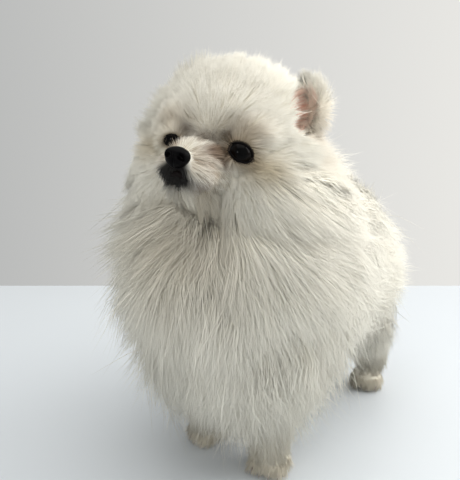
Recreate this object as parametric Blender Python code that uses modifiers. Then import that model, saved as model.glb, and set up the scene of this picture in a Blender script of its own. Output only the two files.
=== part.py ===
"""A life-size standing Pomeranian puppy with its head raised and turned a little to its left.

Metres, +Z up. The dog faces -Y and its left side is +X. The forms are laid out from the floor
under the body, and the stance then moves them so that the origin is under the middle of the
coat's box. Sizes below are in millimetres and are turned to metres by MM.
"""

import math
import random

import bmesh
import bpy
from mathutils import Euler, Matrix, Vector
from mathutils.bvhtree import BVHTree

MM = 0.001

# Driving sizes, in millimetres
GAP = 0.35
BOX_MIDDLE = Vector((-2.8, -13.0, 0.0))

# The head hangs on the point midway between the eyes
EYE_MIDDLE = Vector((13.4, -100.9, 189.6))
HEAD_YAW = math.radians(18.4)
HEAD_PITCH = math.radians(13.7)
HEAD_ROLL = math.radians(-8.9)
EYE_SPREAD = 17.0
EYE_RADIUS = 6.2
EYE_TURN = 24.0
LID_RIM = (7.1, 5.9, 1.2)
LID_AHEAD = 1.7

# The ear's middle and radii, and how far it turns outward and leans to its side in degrees
EAR_MIDDLE = (30.0, 48.0, 33.0)
EAR_RADII = (12.0, 7.0, 20.0)
EAR_TURN = 18.0
EAR_LEAN = 12.0

# The coat parts ahead of each ear's cup; the notch's middle and radii are in the ear's axes
NOTCH_MIDDLE = (-1.0, -17.0, -1.0)
NOTCH_RADII = (12.5, 17.0, 17.5)

# The paws' places to the side and along the body, and how far their toes turn out in degrees
PAW_SPREAD = 24.0
FRONT_PAW = -58.5
HIND_PAW = 70.5
PAW_TURN = 18.0

# The tail rises from the rump and lies forward over the back
TAIL_LINE = ((0, 74, 112), (0, 83, 128), (0, 74, 142), (0, 56, 149), (0, 38, 148))
TAIL_CORE = (13, 9)
TAIL_REACH = (25, 17)

# Each coat's spacing between tips, then a lock's length, half width and half thickness
HEAD_LOCKS = (14.5, (27, 8.6, 1.2))
NECK_LOCKS = (19.5, (52, 11.5, 1.7))
TAIL_LOCKS = (15, (34, 8.5, 1.4))
CHEST_LOCKS = (19, (46, 11.0, 1.7))
TORSO_LOCKS = (20, (48, 11.5, 1.7))
LEG_LOCKS = (18, (27, 8.5, 1.3))
LENGTH_SPREAD = (0.86, 1.14)
SWING_SPREAD = (-5, 5)
TIP_SPREAD = (-1.5, 1.0)

# A lock's half width and half thickness along its length, as shares of its size
LOCK_STEPS = (0.0, 0.36, 0.72)
LOCK_WIDTHS = (0.75, 1.0, 0.74)
LOCK_DEPTHS = (1.0, 1.0, 0.7)
ROOT_SUNK = 4.0
FLOOR_CLEARANCE = 3.0

# Ways tried in turn to lay a lock clear of its neighbours: length, swing in degrees, and
# how far its bend lies under the coat's outline in millimetres
LAYS = [
    (length, swing, depth)
    for length in (1.0, 0.8, 0.62)
    for swing in (0, 12, -12, 26, -26)
    for depth in (3.0, 5.5, 8.0, 11.0, 15.0)
]

COLOURS = {
    "coat": ((0.80, 0.78, 0.70), 0.9),
    "leather": ((0.012, 0.011, 0.012), 0.35),
    "eye": ((0.010, 0.007, 0.006), 0.08),
    "ear": ((0.78, 0.72, 0.62), 0.85),
}


def head_turn():
    """The head's own axes as a turn: X to the dog's left, -Y ahead, Z up."""
    yaw = Matrix.Rotation(HEAD_YAW, 4, "Z")
    pitch = Matrix.Rotation(-HEAD_PITCH, 4, "X")
    roll = Matrix.Rotation(-HEAD_ROLL, 4, "Y")
    return yaw @ pitch @ roll


HEAD = Matrix.Translation(EYE_MIDDLE) @ head_turn()
BODY = Matrix.Identity(4)


def clear_scene():
    for obj in list(bpy.data.objects):
        bpy.data.objects.remove(obj)


def material(kind):
    """The kind's finish, made once."""
    found = bpy.data.materials.get(kind)
    if found:
        return found
    colour, rough = COLOURS[kind]
    made = bpy.data.materials.new(kind)
    made.use_nodes = True
    shader = made.node_tree.nodes["Principled BSDF"]
    shader.inputs["Base Color"].default_value = (*colour, 1)
    shader.inputs["Roughness"].default_value = rough
    return made


def new_object(name, bm, kind="coat"):
    """Turns the bmesh into an object of its own in the scene."""
    bmesh.ops.recalc_face_normals(bm, faces=bm.faces[:])
    mesh = bpy.data.meshes.new(name)
    bm.to_mesh(mesh)
    bm.free()
    mesh.materials.append(material(kind))
    obj = bpy.data.objects.new(name, mesh)
    bpy.context.scene.collection.objects.link(obj)
    return obj


def as_helper(obj):
    obj.hide_render = True
    obj.display_type = "WIRE"
    return obj


def add_ball(bm, frame, centre, radii, tilt=(0, 0, 0), segments=24, rings=16):
    """An ellipsoid in the frame's own axes; tilt is in degrees."""
    turn = Euler([math.radians(a) for a in tilt]).to_matrix().to_4x4()
    place = frame @ Matrix.Translation(centre) @ turn @ Matrix.Diagonal((*radii, 1))
    bmesh.ops.create_uvsphere(
        bm, u_segments=segments, v_segments=rings, radius=1, matrix=Matrix.Scale(MM, 4) @ place
    )


def add_limb(bm, frame, start, end, r_start, r_end, sides=16):
    """A round tapered stretch with a ball at each end."""
    start, end = Vector(start), Vector(end)
    along = end - start
    turn = along.to_track_quat("Z", "Y").to_matrix().to_4x4()
    place = frame @ Matrix.Translation((start + end) / 2) @ turn
    bmesh.ops.create_cone(
        bm,
        cap_ends=True,
        segments=sides,
        radius1=r_start,
        radius2=r_end,
        depth=along.length,
        matrix=Matrix.Scale(MM, 4) @ place,
    )
    add_ball(bm, frame, start, (r_start,) * 3, segments=sides, rings=sides // 2)
    add_ball(bm, frame, end, (r_end,) * 3, segments=sides, rings=sides // 2)


def apply_modifiers(obj):
    graph = bpy.context.evaluated_depsgraph_get()
    mesh = bpy.data.meshes.new_from_object(obj.evaluated_get(graph))
    obj.modifiers.clear()
    obj.data = mesh


def islands(bm):
    """The vertices of each closed surface in the bmesh."""
    left = set(bm.verts)
    found = []
    while left:
        stack = [left.pop()]
        group = set(stack)
        while stack:
            for edge in stack.pop().link_edges:
                for vert in edge.verts:
                    if vert in left:
                        left.discard(vert)
                        group.add(vert)
                        stack.append(vert)
        found.append(group)
    return found


def box_size(verts):
    return sum(max(v.co[i] for v in verts) - min(v.co[i] for v in verts) for i in range(3))


def keep_largest(obj):
    """Leaves only the closed surface that has the largest box."""
    bm = bmesh.new()
    bm.from_mesh(obj.data)
    for group in sorted(islands(bm), key=box_size)[:-1]:
        bmesh.ops.delete(bm, geom=list(group), context="VERTS")
    bm.to_mesh(obj.data)
    bm.free()


def soften(obj, voxel, smooth, triangles):
    """Fuses the overlapping forms of one object into a single smooth surface of few faces."""
    fuse = obj.modifiers.new("fuse", "REMESH")
    fuse.mode = "VOXEL"
    fuse.voxel_size = voxel * MM
    relax = obj.modifiers.new("relax", "SMOOTH")
    relax.factor = 0.5
    relax.iterations = smooth
    apply_modifiers(obj)
    faces = sum(len(p.vertices) - 2 for p in obj.data.polygons)
    if faces > triangles:
        fewer = obj.modifiers.new("fewer", "DECIMATE")
        fewer.ratio = triangles / faces
        fewer.use_collapse_triangulate = True
        apply_modifiers(obj)
    keep_largest(obj)
    return obj


def grown(obj, gap=GAP):
    """A helper copy of the object's surface pushed out by the gap."""
    bm = bmesh.new()
    bm.from_mesh(obj.data)
    bm.normal_update()
    for vert, normal in [(v, v.normal.copy()) for v in bm.verts]:
        vert.co += normal * gap * MM
    return as_helper(new_object(obj.name + "_grown", bm))


def boolean(obj, operation, other):
    """Cuts or joins with another object, or with a collection of them, and applies it."""
    step = obj.modifiers.new(operation.lower(), "BOOLEAN")
    step.operation = operation
    step.solver = "EXACT"
    if isinstance(other, bpy.types.Collection):
        step.operand_type = "COLLECTION"
        step.collection = other
        step.solver = "MANIFOLD"
    else:
        step.object = other
    apply_modifiers(obj)


def cut_clear(obj, *others):
    """Takes each of the others, grown by the gap, away from the object."""
    for other in others:
        cutter = grown(other)
        boolean(obj, "DIFFERENCE", cutter)
        bpy.data.objects.remove(cutter)
    keep_largest(obj)


def flat_foot(leg):
    """Cuts the sole level with the floor."""
    bm = bmesh.new()
    bm.from_mesh(leg.data)
    cut = bmesh.ops.bisect_plane(
        bm,
        geom=bm.verts[:] + bm.edges[:] + bm.faces[:],
        plane_co=(0, 0, 0),
        plane_no=(0, 0, 1),
        clear_inner=True,
    )
    rim = [e for e in cut["geom_cut"] if isinstance(e, bmesh.types.BMEdge)]
    bmesh.ops.holes_fill(bm, edges=rim)
    bmesh.ops.triangulate(bm, faces=[f for f in bm.faces if len(f.verts) > 3])
    bm.to_mesh(leg.data)
    bm.free()


def tree_of(obj):
    bm = bmesh.new()
    bm.from_mesh(obj.data)
    tree = BVHTree.FromBMesh(bm)
    bm.free()
    return tree


def lock_shape(root, rise, tip, facing, tip_facing, width, depth, grow=0.0):
    """Points and faces of a flat tapered lock on a bent centre line, in metres.

    Each ring has four points: an edge, the outer ridge, the other edge and the inner ridge.
    """
    points = []
    for step, wide, deep in zip(LOCK_STEPS, LOCK_WIDTHS, LOCK_DEPTHS):
        centre = root.lerp(rise, step).lerp(rise.lerp(tip, step), step)
        along = (rise - root).lerp(tip - rise, step).normalized()
        out = facing.lerp(tip_facing, step)
        out = (out - along * out.dot(along)).normalized()
        across = along.cross(out)
        half_width = (wide * width + grow) * MM
        half_depth = (deep * depth + grow) * MM
        points += [
            centre + across * half_width,
            centre + out * half_depth,
            centre - across * half_width,
            centre - out * half_depth,
        ]
    end = (tip - rise).normalized()
    points.append(tip + end * 2 * grow * MM)
    faces = [(0, 1, 2), (0, 2, 3)]
    for ring in range(len(LOCK_STEPS) - 1):
        near, far = 4 * ring, 4 * ring + 4
        for edge, ridge in ((0, 1), (2, 1), (2, 3), (0, 3)):
            faces.append((near + edge, far + ridge, near + ridge))
            faces.append((near + edge, far + edge, far + ridge))
    last = 4 * len(LOCK_STEPS) - 4
    faces += [(last + side, last + (side + 1) % 4, last + 4) for side in range(4)]
    return points, faces


def lock_object(name, shape):
    points, faces = shape
    bm = bmesh.new()
    verts = [bm.verts.new(p) for p in points]
    for face in faces:
        bm.faces.new([verts[i] for i in face])
    return new_object(name, bm)


def even_sites(core, spacing, rng, tries=9000):
    """Points spread evenly over the core, each with its outward normal."""
    mesh = core.data
    mesh.calc_loop_triangles()
    corners = [[mesh.vertices[i].co for i in t.vertices] for t in mesh.loop_triangles]
    areas = [t.area for t in mesh.loop_triangles]
    found = []
    for pick in rng.choices(range(len(areas)), weights=areas, k=tries):
        a, b, c = corners[pick]
        u, v = rng.random(), rng.random()
        if u + v > 1:
            u, v = 1 - u, 1 - v
        point = a + (b - a) * u + (c - a) * v
        if all((point - other).length > spacing * MM for other, _ in found):
            found.append((point, mesh.loop_triangles[pick].normal.copy()))
    return found


def outside(tree, point, margin=0.0):
    """Whether the point is clear of the closed surface by the margin, in millimetres."""
    near, normal, _, _ = tree.find_nearest(point)
    return (point - near).dot(normal) > margin * MM


class Coat:
    """Grows the locks of one node out to its outline and clear of every other node."""

    def __init__(self, node, reach, seed):
        self.node = node
        self.core = tree_of(node)
        self.reach = reach
        self.outline = tree_of(reach)
        self.rng = random.Random(seed)
        self.locks = bpy.data.collections.new(node.name + "_locks")
        bpy.context.scene.collection.children.link(self.locks)
        self.trees = []

    def line(self, tip, normal, way, length, lay):
        """A lock's root, bend and tip, with the way it faces at both ends."""
        share, swing, depth = lay
        way = Matrix.Rotation(math.radians(swing), 3, normal) @ way
        run = length * share * MM
        bend, facing, _, _ = self.outline.find_nearest(tip - way * run * 0.5)
        bend -= facing * depth * MM
        start, _, _, _ = self.outline.find_nearest(tip - way * run)
        root, root_normal, _, _ = self.core.find_nearest(start)
        root = root - root_normal * ROOT_SUNK * MM
        return root, bend, tip, facing, normal

    def grow(self, spacing, size, lie, keep, others):
        """Sets locks with even tips over the outline; size is length, half width and depth."""
        length, width, depth = size
        for tip, normal in even_sites(self.reach, spacing, self.rng):
            way = lie(tip / MM)
            way = way - normal * way.dot(normal)
            if way.length < 0.05 or not keep(tip / MM, normal):
                continue
            way.normalize()
            vary = length * self.rng.uniform(*LENGTH_SPREAD)
            swing = self.rng.uniform(*SWING_SPREAD)
            tip = tip + normal * self.rng.uniform(*TIP_SPREAD) * MM
            best = None
            for share, turn, under in LAYS:
                line = self.line(tip, normal, way, vary, (share, turn + swing, under))
                shape = lock_shape(*line, width, depth, GAP)
                if min(p.z for p in shape[0]) < FLOOR_CLEARANCE * MM:
                    continue
                tree = BVHTree.FromPolygons(*shape)
                if any(tree.overlap(other) for other in others):
                    continue
                crossed = sum(bool(tree.overlap(other)) for other in self.trees)
                if best is None or crossed < best[0]:
                    best = (crossed, line, tree)
                if crossed == 0:
                    break
            if best is None:
                continue
            self.trees.append(best[2])
            lock = lock_object(f"{self.node.name}_lock", lock_shape(*best[1], width, depth))
            bpy.context.scene.collection.objects.unlink(lock)
            self.locks.objects.link(lock)

    def fuse(self):
        """Joins the locks to the core and clears them away."""
        boolean(self.node, "UNION", self.locks)
        for lock in list(self.locks.objects):
            bpy.data.objects.remove(lock)
        bpy.data.collections.remove(self.locks)
        bpy.data.objects.remove(self.reach)
        keep_largest(self.node)


def chest_core():
    bm = bmesh.new()
    add_ball(bm, BODY, (0, -47, 82), (40, 35, 32))
    return soften(new_object("chest", bm), 5, 4, 240)


def chest_reach():
    bm = bmesh.new()
    add_ball(bm, BODY, (0, -57, 65), (60, 50, 50))
    return soften(as_helper(new_object("chest_reach", bm)), 5, 2, 1200)


def torso_core():
    bm = bmesh.new()
    add_ball(bm, BODY, (0, -4, 98), (45, 46, 42))
    add_ball(bm, BODY, (0, 50, 94), (40, 40, 39))
    return soften(new_object("torso", bm), 5, 4, 320)


def torso_reach():
    bm = bmesh.new()
    add_ball(bm, BODY, (0, -30, 92), (66, 49, 55))
    add_ball(bm, BODY, (0, 4, 104), (63, 50, 60))
    add_ball(bm, BODY, (0, 52, 95), (56, 55, 54))
    return soften(as_helper(new_object("torso_reach", bm)), 5, 2, 2000)


def neck_core():
    bm = bmesh.new()
    add_ball(bm, BODY, (0, -52, 124), (52, 48, 46))
    add_ball(bm, BODY, (0, -22, 150), (33, 34, 32))
    add_ball(bm, BODY, (8, -80, 146), (26, 20, 22))
    return soften(new_object("neck", bm), 5, 4, 360)


def neck_reach():
    bm = bmesh.new()
    add_ball(bm, BODY, (-2, -58, 120), (77, 74, 70))
    add_ball(bm, BODY, (0, -14, 154), (46, 42, 44))
    add_ball(bm, BODY, (10, -86, 148), (34, 28, 27))
    return soften(as_helper(new_object("neck_reach", bm)), 5, 2, 2000)


def head_core():
    bm = bmesh.new()
    add_ball(bm, HEAD, (0, 30, 9), (37, 30, 34))
    add_ball(bm, HEAD, (0, 13, 12), (25, 15, 18))
    for side in (-1, 1):
        add_ball(bm, HEAD, (side * 20, 21, -11), (20, 21, 20))
        add_ball(bm, HEAD, (side * 17, 6.5, 0), (9.5, 8, 8.5))
    add_ball(bm, HEAD, (0, 9, -8), (20, 13, 14))
    return soften(new_object("head", bm), 3, 3, 460)


def head_reach():
    bm = bmesh.new()
    add_ball(bm, HEAD, (0, 34, 10), (46, 36, 45))
    add_ball(bm, HEAD, (0, 14, 16), (28, 17, 22))
    for side in (-1, 1):
        add_ball(bm, HEAD, (side * 24, 27, -12), (25, 26, 25))
    return soften(as_helper(new_object("head_reach", bm)), 3, 2, 2000)


def make_muzzle():
    bm = bmesh.new()
    add_ball(bm, HEAD, (0, -6, -7), (12, 18, 8), (12, 0, 0))
    add_ball(bm, HEAD, (0, -14, -11), (9, 11, 7))
    add_ball(bm, HEAD, (0, 1, -10), (14, 11, 9))
    for side in (-1, 1):
        add_ball(bm, HEAD, (side * 5.5, -13, -13), (6.5, 11, 6))
    return soften(new_object("muzzle", bm), 1.5, 2, 280)


def make_jaw():
    bm = bmesh.new()
    add_limb(bm, HEAD, (0, -14, -20), (0, 8, -20), 5.5, 10)
    return soften(new_object("lower_jaw", bm), 1.5, 2, 130)


def make_nose():
    """The pad with two slanting nostrils and the groove between them."""
    bm = bmesh.new()
    add_ball(bm, HEAD, (0, -25, -9.5), (6.2, 4.2, 4.4))
    nose = soften(new_object("nose", bm, "leather"), 0.8, 1, 170)
    for side in (-1, 1):
        bm = bmesh.new()
        add_ball(bm, HEAD, (side * 3.0, -29, -9.8), (1.5, 2.6, 1.1), (0, side * 25, 0), 10, 6)
        nostril = as_helper(new_object("nostril", bm))
        boolean(nose, "DIFFERENCE", nostril)
        bpy.data.objects.remove(nostril)
    keep_largest(nose)
    return nose


def eye_frame(side):
    """The eye's own axes, with -Y along its gaze."""
    turn = Matrix.Rotation(math.radians(side * EYE_TURN), 4, "Z")
    return HEAD @ Matrix.Translation((side * EYE_SPREAD, 2, 0)) @ turn


def make_eye(side, name):
    bm = bmesh.new()
    place = eye_frame(side) @ Matrix.Rotation(math.pi / 2, 4, "X")
    add_ball(bm, place, (0, 0, 0), (EYE_RADIUS,) * 3, segments=12, rings=8)
    return new_object(name, bm, "eye")


def add_lids(head, muzzle, side):
    """An almond rim of both lids round the eye, fused with the head and clear of the muzzle."""
    wide, high, thick = LID_RIM
    steps, sides = 12, 5
    bm = bmesh.new()
    rings = []
    for i in range(steps):
        a = math.tau * i / steps
        centre = Vector((wide * math.cos(a), -LID_AHEAD, high * math.sin(a)))
        out = Vector((math.cos(a), 0, math.sin(a)))
        ring = []
        for j in range(sides):
            b = math.tau * j / sides
            point = centre + out * thick * math.cos(b) + Vector((0, 1, 0)) * thick * math.sin(b)
            ring.append(bm.verts.new(eye_frame(side) @ point * MM))
        rings.append(ring)
    for i in range(steps):
        near, far = rings[i], rings[(i + 1) % steps]
        for j in range(sides):
            k = (j + 1) % sides
            bm.faces.new((near[j], near[k], far[k], far[j]))
    lids = as_helper(new_object("lids", bm))
    cutter = grown(muzzle)
    boolean(lids, "DIFFERENCE", cutter)
    bpy.data.objects.remove(cutter)
    boolean(head, "UNION", lids)
    bpy.data.objects.remove(lids)


def ear_frame(side):
    """The ear's own axes: its cup opens along -Y and Z runs to its tip."""
    x, y, z = EAR_MIDDLE
    turn = Matrix.Rotation(math.radians(side * EAR_TURN), 4, "Z")
    lean = Matrix.Rotation(math.radians(side * EAR_LEAN), 4, "Y")
    return HEAD @ Matrix.Translation((side * x, y, z)) @ turn @ lean


def ear_notch(side):
    """A helper that keeps the coat from covering the ear's cup."""
    bm = bmesh.new()
    x, y, z = NOTCH_MIDDLE
    add_ball(bm, ear_frame(side), (side * x, y, z), NOTCH_RADII, segments=16, rings=10)
    return as_helper(new_object("notch", bm))


def make_ear(side, name):
    """A small upright cup, open ahead and a little outward."""
    place = ear_frame(side)
    bm = bmesh.new()
    add_ball(bm, place, (0, 0, 0), EAR_RADII)
    ear = soften(new_object(name, bm, "ear"), 1.5, 1, 200)
    bm = bmesh.new()
    add_ball(bm, place, (0, -6.5, 1), (8.5, 8.5, 15.5), segments=12, rings=8)
    cup = as_helper(new_object("cup", bm))
    boolean(ear, "DIFFERENCE", cup)
    bpy.data.objects.remove(cup)
    return ear


def add_paw(bm, side, y):
    """A rounded paw turned a little outward, with four toes ahead of it."""
    turn = Matrix.Rotation(math.radians(side * PAW_TURN), 4, "Z")
    place = Matrix.Translation((side * PAW_SPREAD, y, 0)) @ turn
    add_ball(bm, place, (0, 0, 8), (12, 12, 9.5))
    for toe in (-1.5, -0.5, 0.5, 1.5):
        reach = 7.0 - abs(toe) * 1.6
        add_ball(bm, place, (toe * 5.4, -reach, 4.2), (3.5, 5.6, 5.2))


def make_front_leg(side, name):
    bm = bmesh.new()
    x = side * PAW_SPREAD
    add_limb(bm, BODY, (x * 0.9, -50, 66), (x, -58, 26), 13, 10)
    add_limb(bm, BODY, (x, -58, 26), (x, -60, 9), 10, 10)
    add_paw(bm, side, FRONT_PAW)
    leg = soften(new_object(name, bm), 1.5, 1, 340)
    flat_foot(leg)
    return leg


def make_hind_leg(side, name):
    bm = bmesh.new()
    x = side * PAW_SPREAD
    add_limb(bm, BODY, (x, 46, 74), (x * 1.15, 54, 50), 20, 15)
    add_limb(bm, BODY, (x * 1.15, 54, 50), (x * 1.05, 76, 33), 14, 10)
    add_limb(bm, BODY, (x * 1.05, 76, 33), (x, 70, 9), 10, 9)
    add_paw(bm, side, HIND_PAW)
    leg = soften(new_object(name, bm), 1.5, 1, 360)
    flat_foot(leg)
    return leg


def plume(name, wide, high, finish):
    """The tail curled up and forward over the back, wider than it is high."""
    bm = bmesh.new()
    for centre in TAIL_LINE:
        add_ball(bm, BODY, centre, (wide, high * 1.2, high))
    return soften(new_object(name, bm), 3, 2, finish)


def leg_reaches():
    """The feathering's outline on the front legs and then the hind legs, left side first."""
    found = []
    for side in (1, -1):
        x = side * PAW_SPREAD
        bm = bmesh.new()
        add_limb(bm, BODY, (x, -54, 60), (x, -60, 16), 19, 14)
        found.append(soften(as_helper(new_object("front_feathering", bm)), 3, 2, 1200))
    for side in (1, -1):
        x = side * PAW_SPREAD
        bm = bmesh.new()
        add_limb(bm, BODY, (x, 46, 74), (x * 1.2, 57, 50), 28, 22)
        add_limb(bm, BODY, (x * 1.2, 57, 50), (x * 1.1, 76, 34), 20, 14)
        add_limb(bm, BODY, (x * 1.1, 76, 34), (x * 1.05, 71, 16), 14, 13)
        found.append(soften(as_helper(new_object("hind_feathering", bm)), 3, 2, 1200))
    return found


def away_from(centre, drop):
    """A lie that flows from a centre and falls by the drop's share."""
    centre = Vector(centre)

    def lie(point):
        return (point - centre).normalized() + Vector((0, 0, -drop))

    return lie


def torso_lie(point):
    """Down at the brisket, turning back along the ribs to the rump."""
    back = min(max((point.y + 70) / 60, 0), 1)
    return Vector((point.x * 0.006, back, -1.0 + 0.35 * back))


def tail_lie(point):
    """Up the tail's root, then forward and outward to both sides."""
    rise = min(max((140 - point.z) / 25, 0), 1)
    return Vector((point.x * 0.07, -1 + rise, rise - 0.25))


def leg_lie(point):
    """Down the leg and back to its rear edge."""
    return Vector((0, 0.5, -1))


def shown(coats, own, depth):
    """Keeps a tip unless another coat hides it by more than the depth."""
    hiding = [coat.outline for coat in coats if coat is not coats[own]]

    def keep(point, _normal):
        return all(outside(outline, point * MM, -depth) for outline in hiding)

    return keep


def on_head(neck_coat):
    """Keeps the tips behind the short fur of the face, and those over the nape."""
    to_head = HEAD.inverted()

    def keep(point, _normal):
        local = to_head @ point
        clear = local.y > 12 or local.z > 24
        return clear and outside(neck_coat.outline, point * MM, -30)

    return keep


def off_belly(keep):
    """Leaves the belly without locks."""

    def kept(point, normal):
        return normal.z > -0.8 and keep(point, normal)

    return kept


def main():
    clear_scene()
    nose = make_nose()
    eyes = [make_eye(1, "eye_left"), make_eye(-1, "eye_right")]
    head = head_core()
    notches = [ear_notch(1), ear_notch(-1)]
    for notch in notches:
        boolean(head, "DIFFERENCE", notch)
    muzzle = make_muzzle()
    cut_clear(muzzle, nose, head)
    jaw = make_jaw()
    cut_clear(jaw, muzzle, head)
    for side in (-1, 1):
        add_lids(head, muzzle, side)
    cut_clear(head, *eyes)
    ears = [make_ear(1, "ear_left"), make_ear(-1, "ear_right")]
    for ear in ears:
        cut_clear(ear, head)
    neck = neck_core()
    cut_clear(neck, head, jaw)
    chest = chest_core()
    cut_clear(chest, neck)
    torso = torso_core()
    cut_clear(torso, chest, neck)
    legs = [
        make_front_leg(1, "front_leg_left"),
        make_front_leg(-1, "front_leg_right"),
        make_hind_leg(1, "hind_leg_left"),
        make_hind_leg(-1, "hind_leg_right"),
    ]
    for leg in legs:
        cut_clear(leg, chest, torso)
    tail = plume("tail", *TAIL_CORE, 220)
    cut_clear(tail, torso, neck)
    for ear in ears:
        cut_clear(ear, neck)

    bodies = [nose, *eyes, head, muzzle, jaw, *ears, neck, chest, torso, *legs, tail]
    trees = {body.name: [tree_of(body)] for body in bodies}
    coats = [
        Coat(head, head_reach(), 3),
        Coat(neck, neck_reach(), 5),
        Coat(tail, as_helper(plume("tail_reach", *TAIL_REACH, 1200)), 7),
        Coat(chest, chest_reach(), 9),
        Coat(torso, torso_reach(), 9),
        *[Coat(leg, reach, 11) for leg, reach in zip(legs, leg_reaches())],
    ]
    nose_tip = HEAD @ Vector((0, -30, -4))
    face = HEAD @ Vector((0, 0, 0))
    sets = [
        (*HEAD_LOCKS, away_from(nose_tip, 0.35), on_head(coats[1])),
        (*NECK_LOCKS, away_from(face, 0.55), shown(coats, 1, 16)),
        (*TAIL_LOCKS, tail_lie, shown(coats, 2, 4)),
        (*CHEST_LOCKS, torso_lie, shown(coats, 3, 3)),
        (*TORSO_LOCKS, torso_lie, off_belly(shown(coats, 4, 3))),
        *[(*LEG_LOCKS, leg_lie, shown(coats, i, 2)) for i in range(5, 9)],
    ]
    for coat, (spacing, size, lie, keep) in zip(coats, sets):
        others = [t for name, group in trees.items() if name != coat.node.name for t in group]
        if coat.node is head:
            others += [tree_of(notch) for notch in notches]
        coat.grow(spacing, size, lie, keep, others)
        trees[coat.node.name] += coat.trees
    for coat in coats:
        coat.fuse()
    for notch in notches:
        bpy.data.objects.remove(notch)

    stance = bpy.data.objects.new("stance", None)
    bpy.context.scene.collection.objects.link(stance)
    stance.location = -BOX_MIDDLE * MM
    for body in bodies:
        body.parent = stance


main()
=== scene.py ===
"""Looks of the life-size Pomeranian puppy: its skin, coat, eyes, nose, mouth, whiskers and claws.

The forms are laid out in millimetres from the floor under the middle of the four paws, as in the
part's own source, and to_frame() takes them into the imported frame, in metres.
"""

import math

import bmesh
import bpy
import numpy as np
from mathutils import Matrix, Vector
from mathutils.bvhtree import BVHTree
from mathutils.kdtree import KDTree


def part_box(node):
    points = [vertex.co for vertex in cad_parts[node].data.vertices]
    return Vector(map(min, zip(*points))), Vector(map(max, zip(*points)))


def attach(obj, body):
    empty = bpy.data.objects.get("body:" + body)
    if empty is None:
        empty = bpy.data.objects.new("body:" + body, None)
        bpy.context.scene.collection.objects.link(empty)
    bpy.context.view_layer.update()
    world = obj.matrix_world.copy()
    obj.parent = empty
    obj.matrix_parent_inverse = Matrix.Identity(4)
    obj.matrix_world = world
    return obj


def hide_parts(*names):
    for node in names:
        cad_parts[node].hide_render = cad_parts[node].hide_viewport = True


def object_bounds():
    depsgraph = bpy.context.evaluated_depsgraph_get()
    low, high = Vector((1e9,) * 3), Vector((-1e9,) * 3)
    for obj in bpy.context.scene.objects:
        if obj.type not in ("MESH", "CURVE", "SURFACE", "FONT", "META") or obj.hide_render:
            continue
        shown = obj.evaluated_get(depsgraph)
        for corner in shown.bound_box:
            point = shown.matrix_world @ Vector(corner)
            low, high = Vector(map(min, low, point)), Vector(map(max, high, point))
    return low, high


bl_info = {
    "name": "Pomeranian Puppy",
    "version": (1, 0, 0),
    "blender": (4, 5, 0),
    "location": "View3D > Sidebar > Puppy",
    "description": "Builds the looks of a life-size Pomeranian puppy around its packed solids",
    "category": "Object",
}

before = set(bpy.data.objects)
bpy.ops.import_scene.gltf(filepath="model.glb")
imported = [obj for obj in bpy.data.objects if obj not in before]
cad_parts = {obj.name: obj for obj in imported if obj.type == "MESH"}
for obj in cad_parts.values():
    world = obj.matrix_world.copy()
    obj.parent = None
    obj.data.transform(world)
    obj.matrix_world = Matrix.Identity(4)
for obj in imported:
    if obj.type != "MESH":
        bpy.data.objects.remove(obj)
CAD_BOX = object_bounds()

MM = 0.001
DOWN = np.array((0.0, 0.0, -1.0))


def turned(degrees, axis):
    """A turn about one of the axes."""
    return Matrix.Rotation(math.radians(degrees), 4, axis)


# The head's place and turn, as in the part's source
EYE_MIDDLE = Vector((13.4, -100.9, 189.6))
HEAD_TURN = turned(18.4, "Z") @ turned(-13.7, "X") @ turned(8.9, "Y")
HEAD = Matrix.Translation(EYE_MIDDLE) @ HEAD_TURN
BODY = Matrix.Identity(4)
EYE_PLACE = Vector((17.0, 2.0, 0.0))
EYE_TURN = 24.0
# Each eye's opening: half its width and height, and how far its outer corner slants down; fur
# covers the right eye's outer half
OPENING = {1: (5.6, 3.7), -1: (3.1, 1.9)}
OPENING_SLANT = 18.0
# How far each opening is turned towards the nose and down, in degrees
OPENING_TURN = {1: (0.0, 0.0), -1: (32.0, 8.0)}
EAR_MIDDLE = Vector((30.0, 48.0, 33.0))
EAR_TURN = 18.0
EAR_LEAN = 12.0
EAR_SHELL = (-1.0, 0, -2.0), (10.6, 6.2, 17.2)
EAR_CUP = (-3.2, -7.0, -2.5), (8.0, 7.9, 15.0)
# The coat parts ahead of the left ear's cup; the right ear is lost in it
EAR_NOTCH = (-1, -17, -1), (12.5, 17.0, 17.5)
PAW_SPREAD = 24.0
PAW_LINES = (-58.5, 70.5)
PAW_TURN = 18.0
TOES = (-1.5, -0.5, 0.5, 1.5)


def eye_place(side):
    """The eye's own axes, with -Y along its gaze."""
    middle = (side * EYE_PLACE.x, EYE_PLACE.y, EYE_PLACE.z)
    return HEAD @ Matrix.Translation(middle) @ turned(side * EYE_TURN, "Z")


def lid_place(side):
    """The axes of the eye's opening, with its outer corner slanting down."""
    turn, dip = OPENING_TURN[side]
    gaze = eye_place(side) @ turned(turn, "Z") @ turned(dip, "X")
    return gaze @ turned(side * OPENING_SLANT, "Y")


def ear_place(side):
    """The ear's own axes: its cup opens along -Y, and Z runs to its tip."""
    middle = (side * EAR_MIDDLE.x, EAR_MIDDLE.y, EAR_MIDDLE.z)
    turn = turned(side * EAR_TURN, "Z") @ turned(side * EAR_LEAN, "Y")
    return HEAD @ Matrix.Translation(middle) @ turn


def paw_place(side, y):
    """The paw's own axes on the floor: its toes point along -Y, a little outward."""
    return Matrix.Translation((side * PAW_SPREAD, y, 0)) @ turned(side * PAW_TURN, "Z")


def mirrored(ball, side):
    """The ball's centre and radii, with its X taken to the given side."""
    (x, y, z), radii = ball
    return (side * x, y, z), radii


def stance():
    """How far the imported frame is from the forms' own origin, read from the two eyes."""
    middle = Vector()
    for node in ("eye_left", "eye_right"):
        low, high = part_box(node)
        middle += (low + high) / 4 / MM
    return middle - HEAD @ Vector((0, EYE_PLACE.y, 0))


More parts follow.
